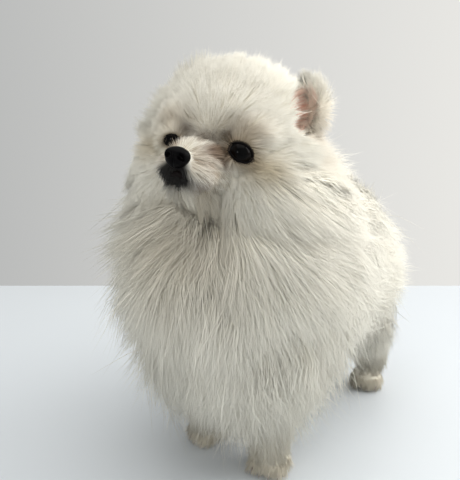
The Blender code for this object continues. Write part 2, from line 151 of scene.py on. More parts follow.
STANCE = stance()


# ---- Colours and nodes


def colour(hex_code):
    """An sRGB hex colour as linear red, green, blue and alpha."""
    parts = [int(hex_code[i : i + 2], 16) / 255 for i in (1, 3, 5)]
    return (*[p / 12.92 if p <= 0.04045 else ((p + 0.055) / 1.055) ** 2.4 for p in parts], 1.0)


def add_node(tree, kind, settings=(), links=()):
    """Adds a node; settings are its properties or input values, links are (socket, input).

    An input goes by its name, or by its number where a node has several of one name.
    """
    made = tree.nodes.new(kind)
    for name, value in settings:
        if isinstance(name, int) or name in made.inputs:
            made.inputs[name].default_value = value
        else:
            setattr(made, name, value)
    for socket, name in links:
        tree.links.new(socket, made.inputs[name])
    return made


def new_material(name, settings):
    """A Principled finish with these values set on its own sockets."""
    made = bpy.data.materials.new(name)
    made.use_nodes = True
    shader = made.node_tree.nodes["Principled BSDF"]
    for socket, value in settings:
        shader.inputs[socket].default_value = value
    return made, made.node_tree, shader


def colour_by(tree, shader, attribute):
    """Takes the base colour from the points' own."""
    layer = add_node(tree, "ShaderNodeAttribute", [("attribute_name", attribute)])
    tree.links.new(layer.outputs["Color"], shader.inputs["Base Color"])


def texture(tree, kind, settings):
    """A texture over the object's own coordinates."""
    place = add_node(tree, "ShaderNodeTexCoord")
    return add_node(tree, kind, settings, [(place.outputs["Object"], "Vector")])


def add_ramp(tree, socket, low, high):
    """The colour that a value picks between two."""
    ramp = add_node(tree, "ShaderNodeValToRGB", (), [(socket, "Fac")])
    for stop, tone in zip(ramp.color_ramp.elements, (low, high)):
        stop.color = tone
    return ramp.outputs["Color"]


def add_bump(tree, shader, height, strength, distance):
    """Bump from a height, its distance in millimetres."""
    settings = [("Strength", strength), ("Distance", distance * MM)]
    bump = add_node(tree, "ShaderNodeBump", settings, [(height, "Height")])
    tree.links.new(bump.outputs["Normal"], shader.inputs["Normal"])


def fur_material():
    """White double coat: matt hair whose own bounce between strands makes it look bright."""
    made, tree, shader = new_material(
        "white_coat_hair", [("Roughness", 0.62), ("IOR", 1.55), ("Specular IOR Level", 0.25)]
    )
    colour_by(tree, shader, "coat")
    return made


def skin_material():
    """Skin under short fur in the coat's own colours and painted shade, with bump from hairs too fine to
    model.
    """
    made, tree, shader = new_material(
        "furred_skin", [("Roughness", 0.8), ("IOR", 1.4), ("Specular IOR Level", 0.2)]
    )
    colour_by(tree, shader, "coat")
    # Hairs lie 1.25 mm apart here, coarser than real ones, so that they show
    lie = [("Scale", 1 / (1.25 * MM)), ("Detail", 3.0), ("Roughness", 0.6)]
    add_bump(tree, shader, texture(tree, "ShaderNodeTexNoise", lie).outputs["Fac"], 0.5, 0.6)
    return made


def leather_material(name, base, roughness, pebble):
    """Moist hairless skin of the nose, lips and lid rims, with its fine pebbled grain."""
    made, tree, shader = new_material(
        name,
        [("Base Color", base), ("Roughness", roughness), ("IOR", 1.45), ("Specular IOR Level", 0.06)],
    )
    cells = texture(tree, "ShaderNodeTexVoronoi", [("Scale", 1 / (pebble * MM))])
    add_bump(tree, shader, cells.outputs["Distance"], 0.35, 0.15)
    return made


def eye_material():
    """Wet eye: a near-black brown iris and pupil under a clear, sharply glossy cornea."""
    made, tree, shader = new_material(
        "wet_eye", [("Roughness", 0.03), ("IOR", 1.38), ("Specular IOR Level", 0.1)]
    )
    colour_by(tree, shader, "iris")
    return made


def claw_material():
    """Horn of a young claw: translucent greyish pink, smooth, a little glossy."""
    made, tree, shader = new_material(
        "claw_horn", [("Roughness", 0.35), ("IOR", 1.54), ("Subsurface Weight", 0.1)]
    )
    layers = texture(tree, "ShaderNodeTexNoise", [("Scale", 1 / (2.5 * MM))])
    tone = add_ramp(tree, layers.outputs["Fac"], colour("#8F7F78"), colour("#C9BBB0"))
    tree.links.new(tone, shader.inputs["Base Color"])
    return made


# ---- Forms

# Balls are (frame, centre, radii, tilt about X in degrees), in millimetres
SIDES = (1, -1)
HEAD_FLESH = [
    (HEAD, (0, 30, 9), (36, 29, 33), 0),
    (HEAD, (0, 13, 12), (24, 14, 17), 0),
    (HEAD, (0, 9, -8), (19, 12, 13), 0),
    *[(HEAD, (s * 20, 21, -11), (19, 20, 19), 0) for s in SIDES],
    # The socket, and the lids that close over the eyeball
    *[(lid_place(s), (0, 5.6, 0), (10.0, 8.2, 13.0), 0) for s in SIDES],
    *[(lid_place(s), (0, 0, 0), (7.2, 7.2, 7.2), 0) for s in SIDES],
    *[(HEAD, (s * 16, 6.5, 8.5), (11, 8, 7), 0) for s in SIDES],
]
MUZZLE_FLESH = [
    (HEAD, (0, -6, -7), (10.6, 17, 7.0), 12),
    (HEAD, (0, -14, -11), (8.2, 10.5, 6.2), 0),
    (HEAD, (0, 1, -10), (12.8, 10.5, 8.4), 0),
    *[(HEAD, (s * 5.4, -13.0, -13.5), (5.6, 9.8, 4.9), 0) for s in SIDES],
]
JAW_FLESH = [
    (HEAD, (-0.5, -13.5, -20.5), (6.6, 6.5, 4.4), 0),
    (HEAD, (0, -6, -20.5), (7.0, 10, 5.2), 0),
    (HEAD, (0, 4, -20), (9, 10, 8), 0),
]
NECK_FLESH = [
    (BODY, (0, -52, 124), (50, 46, 44), 0),
    (BODY, (0, -22, 150), (31, 32, 30), 0),
    (BODY, (8, -80, 146), (25, 19, 21), 0),
]
CHEST_FLESH = [(BODY, (0, -47, 82), (38, 33, 30), 0)]
TORSO_FLESH = [(BODY, (0, -4, 98), (43, 44, 40), 0), (BODY, (0, 50, 94), (38, 38, 37), 0)]
TAIL_LINE = ((0, 74, 112), (0, 83, 128), (0, 74, 142), (0, 56, 149), (0, 38, 148))
TAIL_FLESH = [(BODY, c, (11, 9, 7.5), 0) for c in TAIL_LINE]

# Limbs are (start, end, start radius, end radius)
FORELEG = ((22, -50, 66), (24, -58, 26), 12, 9), ((24, -58, 26), (24, -60, 9), 9, 9)
HINDLEG = (
    ((24, 46, 74), (27.6, 54, 50), 19, 14),
    ((27.6, 54, 50), (25, 76, 33), 13, 9),
    ((25, 76, 33), (24, 70, 9), 9, 8.5),
)

# The coat's outline, out to the tips
COAT_OUTLINE = [
    (HEAD, (0, 34, 10), (46, 36, 45), 0),
    (HEAD, (0, 14, 16), (28, 17, 22), 0),
    *[(HEAD, (s * 24, 27, -12), (25, 26, 25), 0) for s in SIDES],
    *[(HEAD, (s * 30, 40, -22), (29, 30, 30), 0) for s in SIDES],
    *[(HEAD, (s * 23, 33, 17), (28, 26, 29), 0) for s in SIDES],
    (HEAD, (-25, 39, 30), (23, 21, 25), 0),
    (HEAD, (-28, 27, 4), (26, 24, 22), 0),
    (HEAD, (-31, 31, 14), (24.5, 23, 22.5), 0),
    (HEAD, (30, 56, 4), (25, 23, 30), 0),
    (HEAD, (-2, 43, 10), (30, 24, 27), 0),
    (HEAD, (0, 22, -34), (36, 30, 22), 0),
    (BODY, (-2, -58, 120), (77, 74, 70), 0),
    (BODY, (0, -14, 154), (46, 42, 44), 0),
    (BODY, (10, -86, 148), (34, 28, 27), 0),
    (BODY, (0, -57, 65), (60, 50, 50), 0),
    (BODY, (-34, -57, 78), (45, 44, 50), 0),
    (BODY, (-40, -60, 62), (44, 42, 46), 0),
    (BODY, (0, -30, 92), (66, 49, 55), 0),
    (BODY, (0, 4, 104), (63, 50, 60), 0),
    (BODY, (0, 52, 95), (56, 55, 54), 0),
    *[(BODY, c, (25, 20.4, 17), 0) for c in TAIL_LINE],
]
FORELEG_OUTLINE = (((24, -54, 60), (24, -60, 16), 20, 16),)
HINDLEG_OUTLINE = (
    ((24, 46, 74), (28.8, 57, 50), 28, 22),
    ((28.8, 57, 50), (26.4, 76, 34), 20, 14),
    ((26.4, 76, 34), (25.2, 71, 16), 14, 13),
)


def to_frame(points):
    """Points in the forms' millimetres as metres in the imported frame."""
    return (np.asarray(points) + np.array(STANCE)) * MM


def in_frame(matrix):
    """A placing matrix in the forms' millimetres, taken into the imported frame."""
    return Matrix.Scale(MM, 4) @ Matrix.Translation(STANCE) @ matrix


def unit_ball(segments=32, rings=20):
    """A unit ball's points and faces, its poles on Z."""
    turns = [math.tau * i / segments for i in range(segments)]
    rows = [math.pi * j / rings for j in range(1, rings)]
    points = [(0.0, 0.0, 1.0)]
    for b in rows:
        wide, high = math.sin(b), math.cos(b)
        points += [(wide * math.cos(a), wide * math.sin(a), high) for a in turns]
    points.append((0.0, 0.0, -1.0))
    last = len(points) - 1
    faces = []
    for i in range(segments):
        k = (i + 1) % segments
        faces.append((0, 1 + i, 1 + k))
        for row in range(rings - 2):
            a = 1 + row * segments
            faces.append((a + i, a + segments + i, a + segments + k, a + k))
        faces.append((last, last - segments + k, last - segments + i))
    return np.array(points), faces


BALL, BALL_FACES = unit_ball()


def ball_place(ball):
    """A ball's own axes."""
    where, centre, _, tilt = ball
    return where @ Matrix.Translation(centre) @ turned(tilt, "X")


def ball_points(ball):
    """A ball's points, placed."""
    place = np.array(ball_place(ball))
    return (BALL * ball[2]) @ place[:3, :3].T + place[:3, 3]


def limb_points(side, start, end, r_start, r_end):
    """A round tapered stretch, its ends rounded off, on the given side of the body."""
    start = Vector((start[0] * side, *start[1:]))
    end = Vector((end[0] * side, *end[1:]))
    turn = np.array((end - start).to_track_quat("Z", "Y").to_matrix())
    far = BALL[:, 2:] > 0
    return (BALL * np.where(far, r_end, r_start)) @ turn.T + np.where(far, end, start)


def paw_balls(side, y):
    """A rounded paw with four toes ahead of it."""
    place = paw_place(side, y)
    found = [(place, (0, 0, 7.6), (11, 11, 7.4), 0)]
    for toe in TOES:
        reach = 7.0 - abs(toe) * 1.6
        found.append((place, (toe * 5.2, -reach, 4.7), (3.0, 5.0, 4.5), 0))
    return found


def linked(name, mesh, material=None):
    """The mesh as an object in the scene."""
    if material:
        mesh.materials.append(material)
    made = bpy.data.objects.new(name, mesh)
    bpy.context.scene.collection.objects.link(made)
    return made


def object_from(name, points, faces):
    """A mesh object from points in the forms' millimetres."""
    mesh = bpy.data.meshes.new(name)
    mesh.from_pydata(to_frame(points).tolist(), [], faces)
    return linked(name, mesh)


def forms(name, balls, limbs=()):
    """The balls and limbs as one object of overlapping closed forms."""
    parts = [ball_points(ball) for ball in balls]
    parts += [limb_points(side, *limb) for limb in limbs for side in SIDES]
    starts = [len(BALL) * i for i in range(len(parts))]
    faces = [tuple(corner + start for corner in face) for start in starts for face in BALL_FACES]
    return object_from(name, np.concatenate(parts), faces)


def object_of(name, bm, material=None):
    """The shape as an object in the scene."""
    mesh = bpy.data.meshes.new(name)
    bm.to_mesh(mesh)
    bm.free()
    return linked(name, mesh, material)


def apply_modifiers(obj):
    """Keeps the shape that the modifiers give, and removes them."""
    graph = bpy.context.evaluated_depsgraph_get()
    mesh = bpy.data.meshes.new_from_object(obj.evaluated_get(graph))
    obj.modifiers.clear()
    obj.data = mesh
    return obj


def fuse(obj, voxel, smooth):
    """One smooth closed surface over the overlapping forms."""
    step = obj.modifiers.new("fuse", "REMESH")
    step.mode = "VOXEL"
    step.voxel_size = voxel * MM
    step.use_smooth_shade = True
    relax = obj.modifiers.new("relax", "SMOOTH")
    relax.factor = 0.5
    relax.iterations = smooth
    return apply_modifiers(obj)


def combine(obj, other, operation):
    """Joins the other to the object or takes it away, and removes it."""
    step = obj.modifiers.new("combine", "BOOLEAN")
    step.operation = operation
    step.object = other
    apply_modifiers(obj)
    bpy.data.objects.remove(other)


def ear_ball(side, ball):
    """A ball of the ear on the given side."""
    return (ear_place(side), *mirrored(ball, side), 0)


def skin_form():
    """All the flesh as one closed surface."""
    flesh = HEAD_FLESH + MUZZLE_FLESH + JAW_FLESH + NECK_FLESH + CHEST_FLESH + TORSO_FLESH + TAIL_FLESH
    flesh = flesh + [ball for side in SIDES for y in PAW_LINES for ball in paw_balls(side, y)]
    skin = fuse(forms("skin", flesh, FORELEG + HINDLEG), 1.25, 3)
    for side, (wide, high) in OPENING.items():
        opening = (lid_place(side), (0, -7.0, 0), (wide + 0.9, 6.0, high + 0.9), 0)
        combine(skin, forms("opening", [opening]), "DIFFERENCE")
    combine(skin, forms("notch", [ear_ball(1, EAR_NOTCH)]), "DIFFERENCE")
    for side in SIDES:
        ear = forms("ear", [ear_ball(side, EAR_SHELL)])
        combine(ear, forms("cup", [ear_ball(side, EAR_CUP)]), "DIFFERENCE")
        combine(skin, ear, "UNION")
    return fuse(skin, 1.2, 3)


def coat_outline():
    """The search tree of the coat's outline, in the forms' millimetres."""
    outline = fuse(forms("outline", COAT_OUTLINE, FORELEG_OUTLINE + HINDLEG_OUTLINE), 4, 14)
    combine(outline, forms("notch", [ear_ball(1, EAR_NOTCH)]), "DIFFERENCE")
    verts, polygons = mesh_arrays(outline.data)
    bpy.data.objects.remove(outline)
    return BVHTree.FromPolygons(verts.tolist(), polygons)


def mesh_arrays(mesh):
    """A mesh's points in the forms' millimetres, and its polygons' corners."""
    co = np.empty(len(mesh.vertices) * 3)
    mesh.vertices.foreach_get("co", co)
    return co.reshape(-1, 3) / MM - np.array(STANCE), [p.vertices[:] for p in mesh.polygons]


def write_colours(mesh, name, rgb):
    """Gives the mesh's points these linear colours."""
    rgba = np.ones((len(rgb), 4), np.float32)
    rgba[:, :3] = rgb
    mesh.attributes.new(name, "FLOAT_COLOR", "POINT").data.foreach_set("color", rgba.ravel())


# ---- Fields over the body, on arrays of points in the forms' millimetres


def smooth_step(low, high, value):
    """From 0 at low to 1 at high, eased at both ends."""
    t = np.clip((value - low) / (high - low), 0, 1)
    return t * t * (3 - 2 * t)


def unit(vectors):
    """The vectors at a length of 1."""
    return vectors / np.maximum(np.linalg.norm(vectors, axis=-1, keepdims=True), 1e-9)


def local(matrix, points):
    """The points in a place's own axes."""
    inverse = np.array(matrix.inverted())
    return points @ inverse[:3, :3].T + inverse[:3, 3]


def blob(points, centre, radii, soft=0.6):
    """1 inside a ball and 0 outside it, with a soft edge."""
    away = np.linalg.norm((points - np.array(centre)) / np.array(radii), axis=-1)
    return 1 - smooth_step(1 - soft, 1 + soft * 0.3, away)


def nearness(points, balls):
    """How far the points are outside the nearest of the balls, about, in millimetres."""
    best = np.full(len(points), 1e9)
    for ball in balls:
        q = np.linalg.norm(local(ball_place(ball), points) / np.array(ball[2]), axis=-1)
        best = np.minimum(best, (q - 1) * min(ball[2]))
    return best


def limb_nearness(points, limbs):
    """How far the points are outside the nearest of the limbs, in millimetres."""
    best = np.full(len(points), 1e9)
    for side in SIDES:
        for start, end, r_start, r_end in limbs:
            a = np.array((start[0] * side, *start[1:]), float)
            b = np.array((end[0] * side, *end[1:]), float)
            t = np.clip((points - a) @ (b - a) / ((b - a) @ (b - a)), 0, 1)
            near = a + t[:, None] * (b - a)
            radius = r_start + (r_end - r_start) * t
            best = np.minimum(best, np.linalg.norm(points - near, axis=-1) - radius)
    return best


EAR_BALLS = [ear_ball(s, EAR_SHELL) for s in SIDES]
PAW_BALLS = [(paw_place(s, y), (0, -2, 6), (12.5, 14, 8), 0) for s in SIDES for y in PAW_LINES]
NOSE_TIP = np.array(HEAD @ Vector((0, -30, -6)))
FACE = np.array(EYE_MIDDLE)


def directions(x, y, z):
    """One vector a point, from its parts."""
    return np.stack(np.broadcast_arrays(x, y, z), axis=-1)


def lie_head(p):
    """Back from the nose, parting round the eyes and falling below them."""
    h = local(HEAD, p)
    fall = 0.5 * (1 - smooth_step(-12, 10, h[:, 2]))
    way = unit(p - NOSE_TIP) + fall[:, None] * DOWN
    for side in SIDES:
        place = lid_place(side)
        eye = local(place, p)
        part = blob(eye, (0, -2, 0), (11, 10, 9), 0.7) * smooth_step(3, -5, side * eye[:, 0])
        part = part[:, None]
        apart = unit(eye * (0.7, 0, 1)) @ np.array(place.to_3x3()).T
        way = way * (1 - 0.75 * part) + apart * part * 1.1
    return way


def lie_neck(p):
    """Out from the face all round, falling to the chest and less so over the nape."""
    fall = 0.25 + 0.9 * smooth_step(185, 145, p[:, 2])
    return unit(p - FACE) + fall[:, None] * DOWN


def lie_chest(p):
    """Down, spreading a little to the sides."""
    return directions(p[:, 0] * 0.006, 0.1, -1.0)


def lie_torso(p):
    """Down, and more to the tail the further back."""
    back = smooth_step(-70, -10, p[:, 1])
    return directions(p[:, 0] * 0.006, back, -1 + 0.45 * back)


def lie_leg(p):
    """Down and to the back of the leg."""
    return directions(0 * p[:, 0], 0.35, -1.0)


def lie_paw(p):
    """Along the toes and down to the floor."""
    turn = np.sign(p[:, 0]) * math.radians(PAW_TURN)
    return directions(np.sin(turn), -np.cos(turn), -0.8)


def lie_tail(p):
    """Up from the tail's root, then forward over the back."""
    rise = np.clip((140 - p[:, 2]) / 25, 0, 1)
    return directions(p[:, 0] * 0.07, rise - 1, rise - 0.25)


def lie_ear(p):
    """Out from the middle of the ear all round its rim, and up."""
    way = np.zeros_like(p)
    for s in SIDES:
        e = local(ear_place(s), p)
        out = e * (1.0, 0.2, 1.0) / (11.0, 1.0, 19.0)
        turn = np.array(ear_place(s).to_3x3())
        near = (np.sign(p[:, 0] - EYE_MIDDLE.x) == s)[:, None]
        way += near * ((unit(out) + (0, 0.25, 0.35)) @ turn.T)
    return way


# Each part: its lie, then in millimetres the run of its hair along the body, its tips' height
# over the skin, how steeply it rises, how much it clumps, a tuft's spacing and a half width
PARTS = {
    "head": (lie_head, 12.0, 10.0, 0.6, 0.28, 4.0, 0.20),
    "muzzle": (lie_head, 6.5, 3.0, 0.5, 0.35, 2.2, 0.15),
    "neck": (lie_neck, 36.0, 22.0, 0.5, 0.27, 4.2, 0.19),
    "chest": (lie_chest, 38.0, 18.0, 0.4, 0.3, 4.5, 0.2),
    "torso": (lie_torso, 32.0, 18.0, 0.5, 0.34, 5.5, 0.25),
    "leg": (lie_leg, 15.0, 9.0, 0.5, 0.4, 4.0, 0.22),
    "paw": (lie_paw, 6.0, 2.8, 0.4, 0.35, 2.2, 0.17),
    "tail": (lie_tail, 26.0, 10.0, 0.5, 0.45, 6.0, 0.26),
    "ear": (lie_ear, 10.0, 4.5, 0.6, 0.3, 2.5, 0.17),
}
PART_NAMES = tuple(PARTS)
SHORT_PARTS = ("muzzle", "paw", "ear")
# How softly the parts' borders run into each other, in millimetres
BORDER = 2.2


def part_weights(p):
    """How much each point belongs to each part, with soft borders."""
    away = {
        "head": nearness(p, HEAD_FLESH),
        "muzzle": nearness(p, MUZZLE_FLESH + JAW_FLESH),
        "neck": nearness(p, NECK_FLESH),
        "chest": nearness(p, CHEST_FLESH),
        "torso": nearness(p, TORSO_FLESH),
        "leg": limb_nearness(p, FORELEG + HINDLEG),
        "paw": nearness(p, PAW_BALLS) + smooth_step(9, 15, p[:, 2]) * 20,
        "tail": nearness(p, TAIL_FLESH),
        "ear": nearness(p, EAR_BALLS),
    }
    closest = np.stack([away[name] for name in PART_NAMES], axis=-1)
    closest -= closest.min(axis=-1, keepdims=True)
    weights = np.exp(-closest / BORDER)
    return weights / weights.sum(axis=-1, keepdims=True)


def share_of(weights, *names):
    """How much each point belongs to these parts together."""
    return weights[:, [PART_NAMES.index(name) for name in names]].sum(-1)


WHITE = "#FDF9EC"
# Marks are a soft ball's middle, radii and edge, then a colour and its strength. These are in the
# body's axes: a warm nape, and painted shade, greyer and warmer, down the chest's middle and throat
BODY_MARKS_AND_SHADE = (
    ((34, -30, 172), (26, 30, 24), 0.6, "#F0E2CF", 0.5),
    # Painted shade down the chest's middle and under the chin
    ((2, -122, 134), (58, 30, 38), 0.9, "#CBC2AE", 0.8),
    ((8, -110, 153), (34, 18, 14), 0.9, "#B5AA96", 0.6),
)
# In the head's axes, a little fainter on its right side
CHEEK_MARKS_AND_SHADE = (
    # Painted shade under the brow and on the cheek
    ((19, -1, 10.5), (17, 12, 10), 0.9, "#A9977D", 0.72),
    ((31, 5, -5), (18, 17, 11), 0.9, "#B9A987", 0.75),
    # Darker brown over the inner corner, the tear stain and the fainter stains below it
    ((11.5, -1, 6.4), (5.5, 9, 3.6), 0.8, "#5F4D42", 0.9),
    ((10.8, -8, -1.8), (5.8, 12, 6.6), 0.6, "#5A2614", 0.97),
    ((12.5, -3, -6.5), (5.5, 6, 2.6), 0.8, "#96694C", 0.7),
    ((11, -8, -13), (4.5, 6, 5), 0.8, "#C4A574", 0.6),
    # Painted shade under the jaw
    ((9, -5, -22), (8, 10, 7), 0.9, "#8F8574", 0.8),
    # Grey of the flews, and the muzzle side's mauve tint deepened as painted shade
    ((8.6, -14, -18.5), (8, 10, 7.5), 0.9, "#7F726D", 0.8),
    ((10, -14, -9), (8, 14, 9), 0.9, "#BBAA98", 0.7),
)
# The bridge's grey-brown hair, and painted shade under the chin
MIDDLE_MARKS_AND_SHADE = (
    ((0, -2.5, 3.5), (8, 8, 5.5), 0.8, "#8F8071", 0.8),
    ((0, -12, -27), (11, 11, 7), 0.9, "#7F786A", 0.8),
)
# Black round the mouth and under the nose
MOUTH_MARKS = (
    ((-1.8, -20, -17.8), (10.8, 9, 7.6), 0.3, "#080606", 0.98),
    ((0, -24, -13), (6.5, 4.5, 4.0), 0.6, "#100D0C", 0.97),
)
RIGHT_FAINTER = 0.8


def markings_and_shade(p):
    """The coat's and the skin's colour at each point, linear, with painted shade."""
    found = np.tile(np.array(colour(WHITE)[:3]), (len(p), 1))

    def paint(mask, hex_code, strength):
        nonlocal found
        mask = (mask * strength)[:, None]
        found = found * (1 - mask) + np.array(colour(hex_code)[:3]) * mask

    def paint_marks(q, marks, share=1.0):
        for centre, radii, soft, hex_code, strength in marks:
            paint(blob(q, centre, radii, soft), hex_code, strength * share)

    h = local(HEAD, p)
    paint(blob(h, (34, 46, 24), (16, 22, 18)), "#EADBC6", 0.5)
    paint_marks(p, BODY_MARKS_AND_SHADE)
    paint_marks(h, CHEEK_MARKS_AND_SHADE)
    paint_marks(h * (-1, 1, 1), CHEEK_MARKS_AND_SHADE, RIGHT_FAINTER)
    paint_marks(h, MIDDLE_MARKS_AND_SHADE)
    # Painted shade in the hair round each eye, and its black rim
    for side, (wide, high) in OPENING.items():
        eye = local(lid_place(side), p)
        away = np.hypot(eye[:, 0] / (wide + 0.6), eye[:, 2] / (high + 0.6)) + 9 * (eye[:, 1] > 4)
        paint(1 - smooth_step(1.1, 2.6, away), "#8C7C64", 0.88)
        paint(1 - smooth_step(1.0, 1.4, away), "#1C1512", 0.95)
    paint_marks(h, MOUTH_MARKS)
    # Pink of the ears' cups
    for side in SIDES:
        ear = local(ear_place(side), p)
        centre, radii = mirrored(EAR_CUP, side)
        paint(blob(ear, centre, radii, 0.12) * (ear[:, 1] < 3.2), "#F3BBA4", 0.97)
    # Greyer towards the floor
    paint(smooth_step(34, 4, p[:, 2]), "#D6CCB6", 0.6)
    return np.clip(found, 0, 1)


# ---- Strands

# How far a strand is shaded as the coat's surface is rather than as a thin rod, since white
# hair passes light on from strand to strand
SOFTNESS = 0.8
# The least that a strand's side is shaded towards where it faces; the ears' thin fur has none
LEAST_OWN = 0.3
# How far the long coat is shaded as one round form rather than lock by lock
ROUNDNESS = 0.6
# How far hair stands out of the CAD box: a share of each side and millimetres on top
PROUD = 0.03, 8.0
# The lowest that the middle of a strand comes to, in millimetres above the floor
FLOOR_GAP = 0.8
# Which way the thin fur of the ears is shaded, as it lets the window's light through
EAR_GLOW = np.array((0.35, 0.2, 0.5))
# How many sides a strand has
STRAND_SIDES = 3
# How often a lock waves from side to side along its length
WAVE_TURNS = 1.15
# Darker hairs strewn over the muzzle, as a share of the coat's colour
FLECK = np.array((0.62, 0.54, 0.48))
# Painted shade deep in the coat: a strand is warmer and darker at its root than at its tip
ROOT_SHADE = np.array((0.92, 0.89, 0.83))
# How deep a root is set in the skin, in millimetres
ROOT_DEPTH = 0.4
# A strand's thinning towards its tip, and how far along it the hair on the face takes its colour
TAPER = 0.72
SEEN_FROM = 0.32
# The side of a strand's patch on the unwrap
PATCH = 0.003


def smooth_noise(points, scale, seed):
    """A gentle random vector field, made of a few sine waves."""
    rng = np.random.default_rng(seed)
    total = np.zeros((len(points), 3))
    for _ in range(5):
        wave = rng.normal(size=(3, 3)) / scale
        total += np.sin(points @ wave + rng.uniform(0, math.tau, 3))
    return total / 5


def scatter(verts, corners, centres, areas, chosen, count, rng):
    """Random roots over the chosen quads, with their face numbers."""
    odds = areas[chosen] / areas[chosen].sum()
    picks = chosen[rng.choice(len(chosen), size=count, p=odds)]
    u, v = rng.random(count)[:, None], rng.random(count)[:, None]
    a, b, c, d = (verts[corners[picks, i]] for i in range(4))
    return (a * (1 - u) + b * u) * (1 - v) + (d * (1 - u) + c * u) * v, picks


def drawn_in(points):
    """Points drawn in softly to where hair may stand out of the CAD box, and above the floor."""
    low, high = (np.array(corner) / MM - np.array(STANCE) for corner in CAD_BOX)
    middle, half = (low + high) / 2, (high - low) / 2
    apart = points - middle
    over = np.maximum(np.abs(apart) - half, 0)
    room = half * 2 * PROUD[0] + PROUD[1]
    apart = np.sign(apart) * (np.minimum(np.abs(apart), half) + room * np.tanh(over / room))
    return np.maximum(middle + apart, (-np.inf, -np.inf, FLOOR_GAP))


def strand_rings(path, widths, rings, facing, least, rng):
    """Points along the strands, how far along each is, and the directions they are shaded by."""
    roots, bends, waves, tips = path
    spin = rng.uniform(0, math.tau, len(roots))
    side_start = unit(np.cross(bends - roots, rng.normal(size=roots.shape)))
    points, steps, shown = [], [], []
    for t in np.linspace(0, 1, rings + 1)[:-1]:
        centre = roots * (1 - t) ** 2 + bends * (2 * t * (1 - t)) + tips * t**2
        centre = drawn_in(centre + waves * (t * math.sin(WAVE_TURNS * math.tau * t)))
        along = unit((bends - roots) * (1 - t) + (tips - bends) * t)
        u = unit(side_start - along * (side_start * along).sum(-1, keepdims=True))
        v = np.cross(along, u)
        radius = widths * (1 - TAPER * t**1.5)
        surface = (facing[0] * (1 - t) + facing[1] * t) * SOFTNESS
        for k in range(STRAND_SIDES):
            a = spin + math.tau * k / STRAND_SIDES
            spoke = np.cos(a)[:, None] * u + np.sin(a)[:, None] * v
            points.append(centre + radius[:, None] * spoke)
            # No side of a strand is shaded as if it faced away from where it does
            own = np.maximum(1 - SOFTNESS, least - (surface * spoke).sum(-1, keepdims=True))
            shown.append(surface + spoke * own)
            steps.append(t)
    points.append(drawn_in(tips))
    shown.append(facing[1])
    steps.append(1.0)
    return np.stack(points, axis=1), np.array(steps), unit(np.stack(shown, axis=1))


def strand_faces(rings):
    """A strand's faces: its root's end, its sides and its tip."""
    faces = [(0, 2, 1)]
    pairs = [(k, (k + 1) % STRAND_SIDES) for k in range(STRAND_SIDES)]
    for start in range(0, (rings - 1) * STRAND_SIDES, STRAND_SIDES):
        above = start + STRAND_SIDES
        faces += [(start + a, start + b, above + b, above + a) for a, b in pairs]
    last = (rings - 1) * STRAND_SIDES
    return faces + [(last + a, last + b, last + STRAND_SIDES) for a, b in pairs]


def strand_mesh(name, path, widths, rings, rng, colours, patches, facing, material):
    """Closed three-sided tapered strands joined into one mesh; arrays are in millimetres.

    Path holds their roots, bends, waves and tips. Facing holds the coat's surface directions at
    the roots and at the tips, and colours its colours there.
    """
    least = -1.0 if name == "coat_ears" else LEAST_OWN
    points, steps, shown = strand_rings(path, widths, rings, facing, least, rng)
    count, per = points.shape[:2]
    co = to_frame(points.reshape(-1, 3))

    faces = strand_faces(rings)
    corners = np.array([i for face in faces for i in face])
    starts = np.cumsum([0, *map(len, faces[:-1])])
    loops = (corners[None, :] + per * np.arange(count)[:, None]).ravel()
    loop_start = (starts[None, :] + len(corners) * np.arange(count)[:, None]).ravel()

    mesh = bpy.data.meshes.new(name)
    mesh.vertices.add(len(co))
    mesh.vertices.foreach_set("co", co.astype(np.float32).ravel())
    mesh.loops.add(len(loops))
    mesh.loops.foreach_set("vertex_index", loops.astype(np.int32))
    mesh.polygons.add(len(loop_start))
    mesh.polygons.foreach_set("loop_start", loop_start.astype(np.int32))
    mesh.polygons.foreach_set("use_smooth", np.ones(len(loop_start), bool))
    mesh.update(calc_edges=True)
    mesh.normals_split_custom_set_from_vertices(shown.reshape(-1, 3))

    # Painted shade deep in the coat, darker towards each strand's root
    blend = steps[None, :, None]
    shade = ROOT_SHADE + (1 - ROOT_SHADE) * blend**0.5
    tints = (colours[0][:, None, :] * (1 - blend) + colours[1][:, None, :] * blend) * shade
    write_colours(mesh, "coat", tints.reshape(-1, 3))

    across = np.array([0.0, 0.5, 1.0] * rings + [0.5])
    uv = patches[:, None, :] + np.stack([across, steps], axis=-1)[None] * PATCH
    bake = mesh.uv_layers.new(name="OFBake")
    bake.data.foreach_set("uv", uv.reshape(-1, 2)[loops].astype(np.float32).ravel())
    return linked(name, mesh, material)


def unwrap(points, centre, axis):
    """Round and along the piece's own axis, from 0.01 to 0.98 both ways."""
    rel = points - np.array(centre)
    flat = [i for i in range(3) if i != axis]
    turn = np.arctan2(rel[:, flat[0]], rel[:, flat[1]]) / math.tau + 0.5
    distance = np.linalg.norm(rel, axis=-1) + 1e-9
    along = np.arccos(np.clip(rel[:, axis] / distance, -1, 1)) / math.pi
    return np.stack([turn, along], axis=-1) * 0.97 + 0.01


FRONT = HEAD @ Vector((0, 25, 0))
SKULL = HEAD @ Vector((0, 30, 9))
CHIN = HEAD @ Vector((0, 10, -12))
HEART = (0, -50, 110)


def on_face(h):
    """The front of the head, in its own axes."""
    return (h[:, 1] < 16) & (h[:, 2] < 24)


def on_crown(h):
    """The head above and behind the face."""
    return ~on_face(h) & (h[:, 2] > 4)


def on_cheek(h):
    """The head beside and below the face."""
    return ~on_face(h) & (h[:, 2] <= 4)


def all_over(h, p):
    """The whole part."""
    return np.ones(len(p), bool)


# Curls over the chest: middle and size in millimetres, and a turn in degrees
CURLS = (
    ((13, -128, 138), 24, -80),
    ((-14, -128, 120), 22, 60),
    ((51, -111, 126), 24, 75),
    ((30, -122, 100), 22, -60),
    ((4, -112, 66), 22, -55),
)

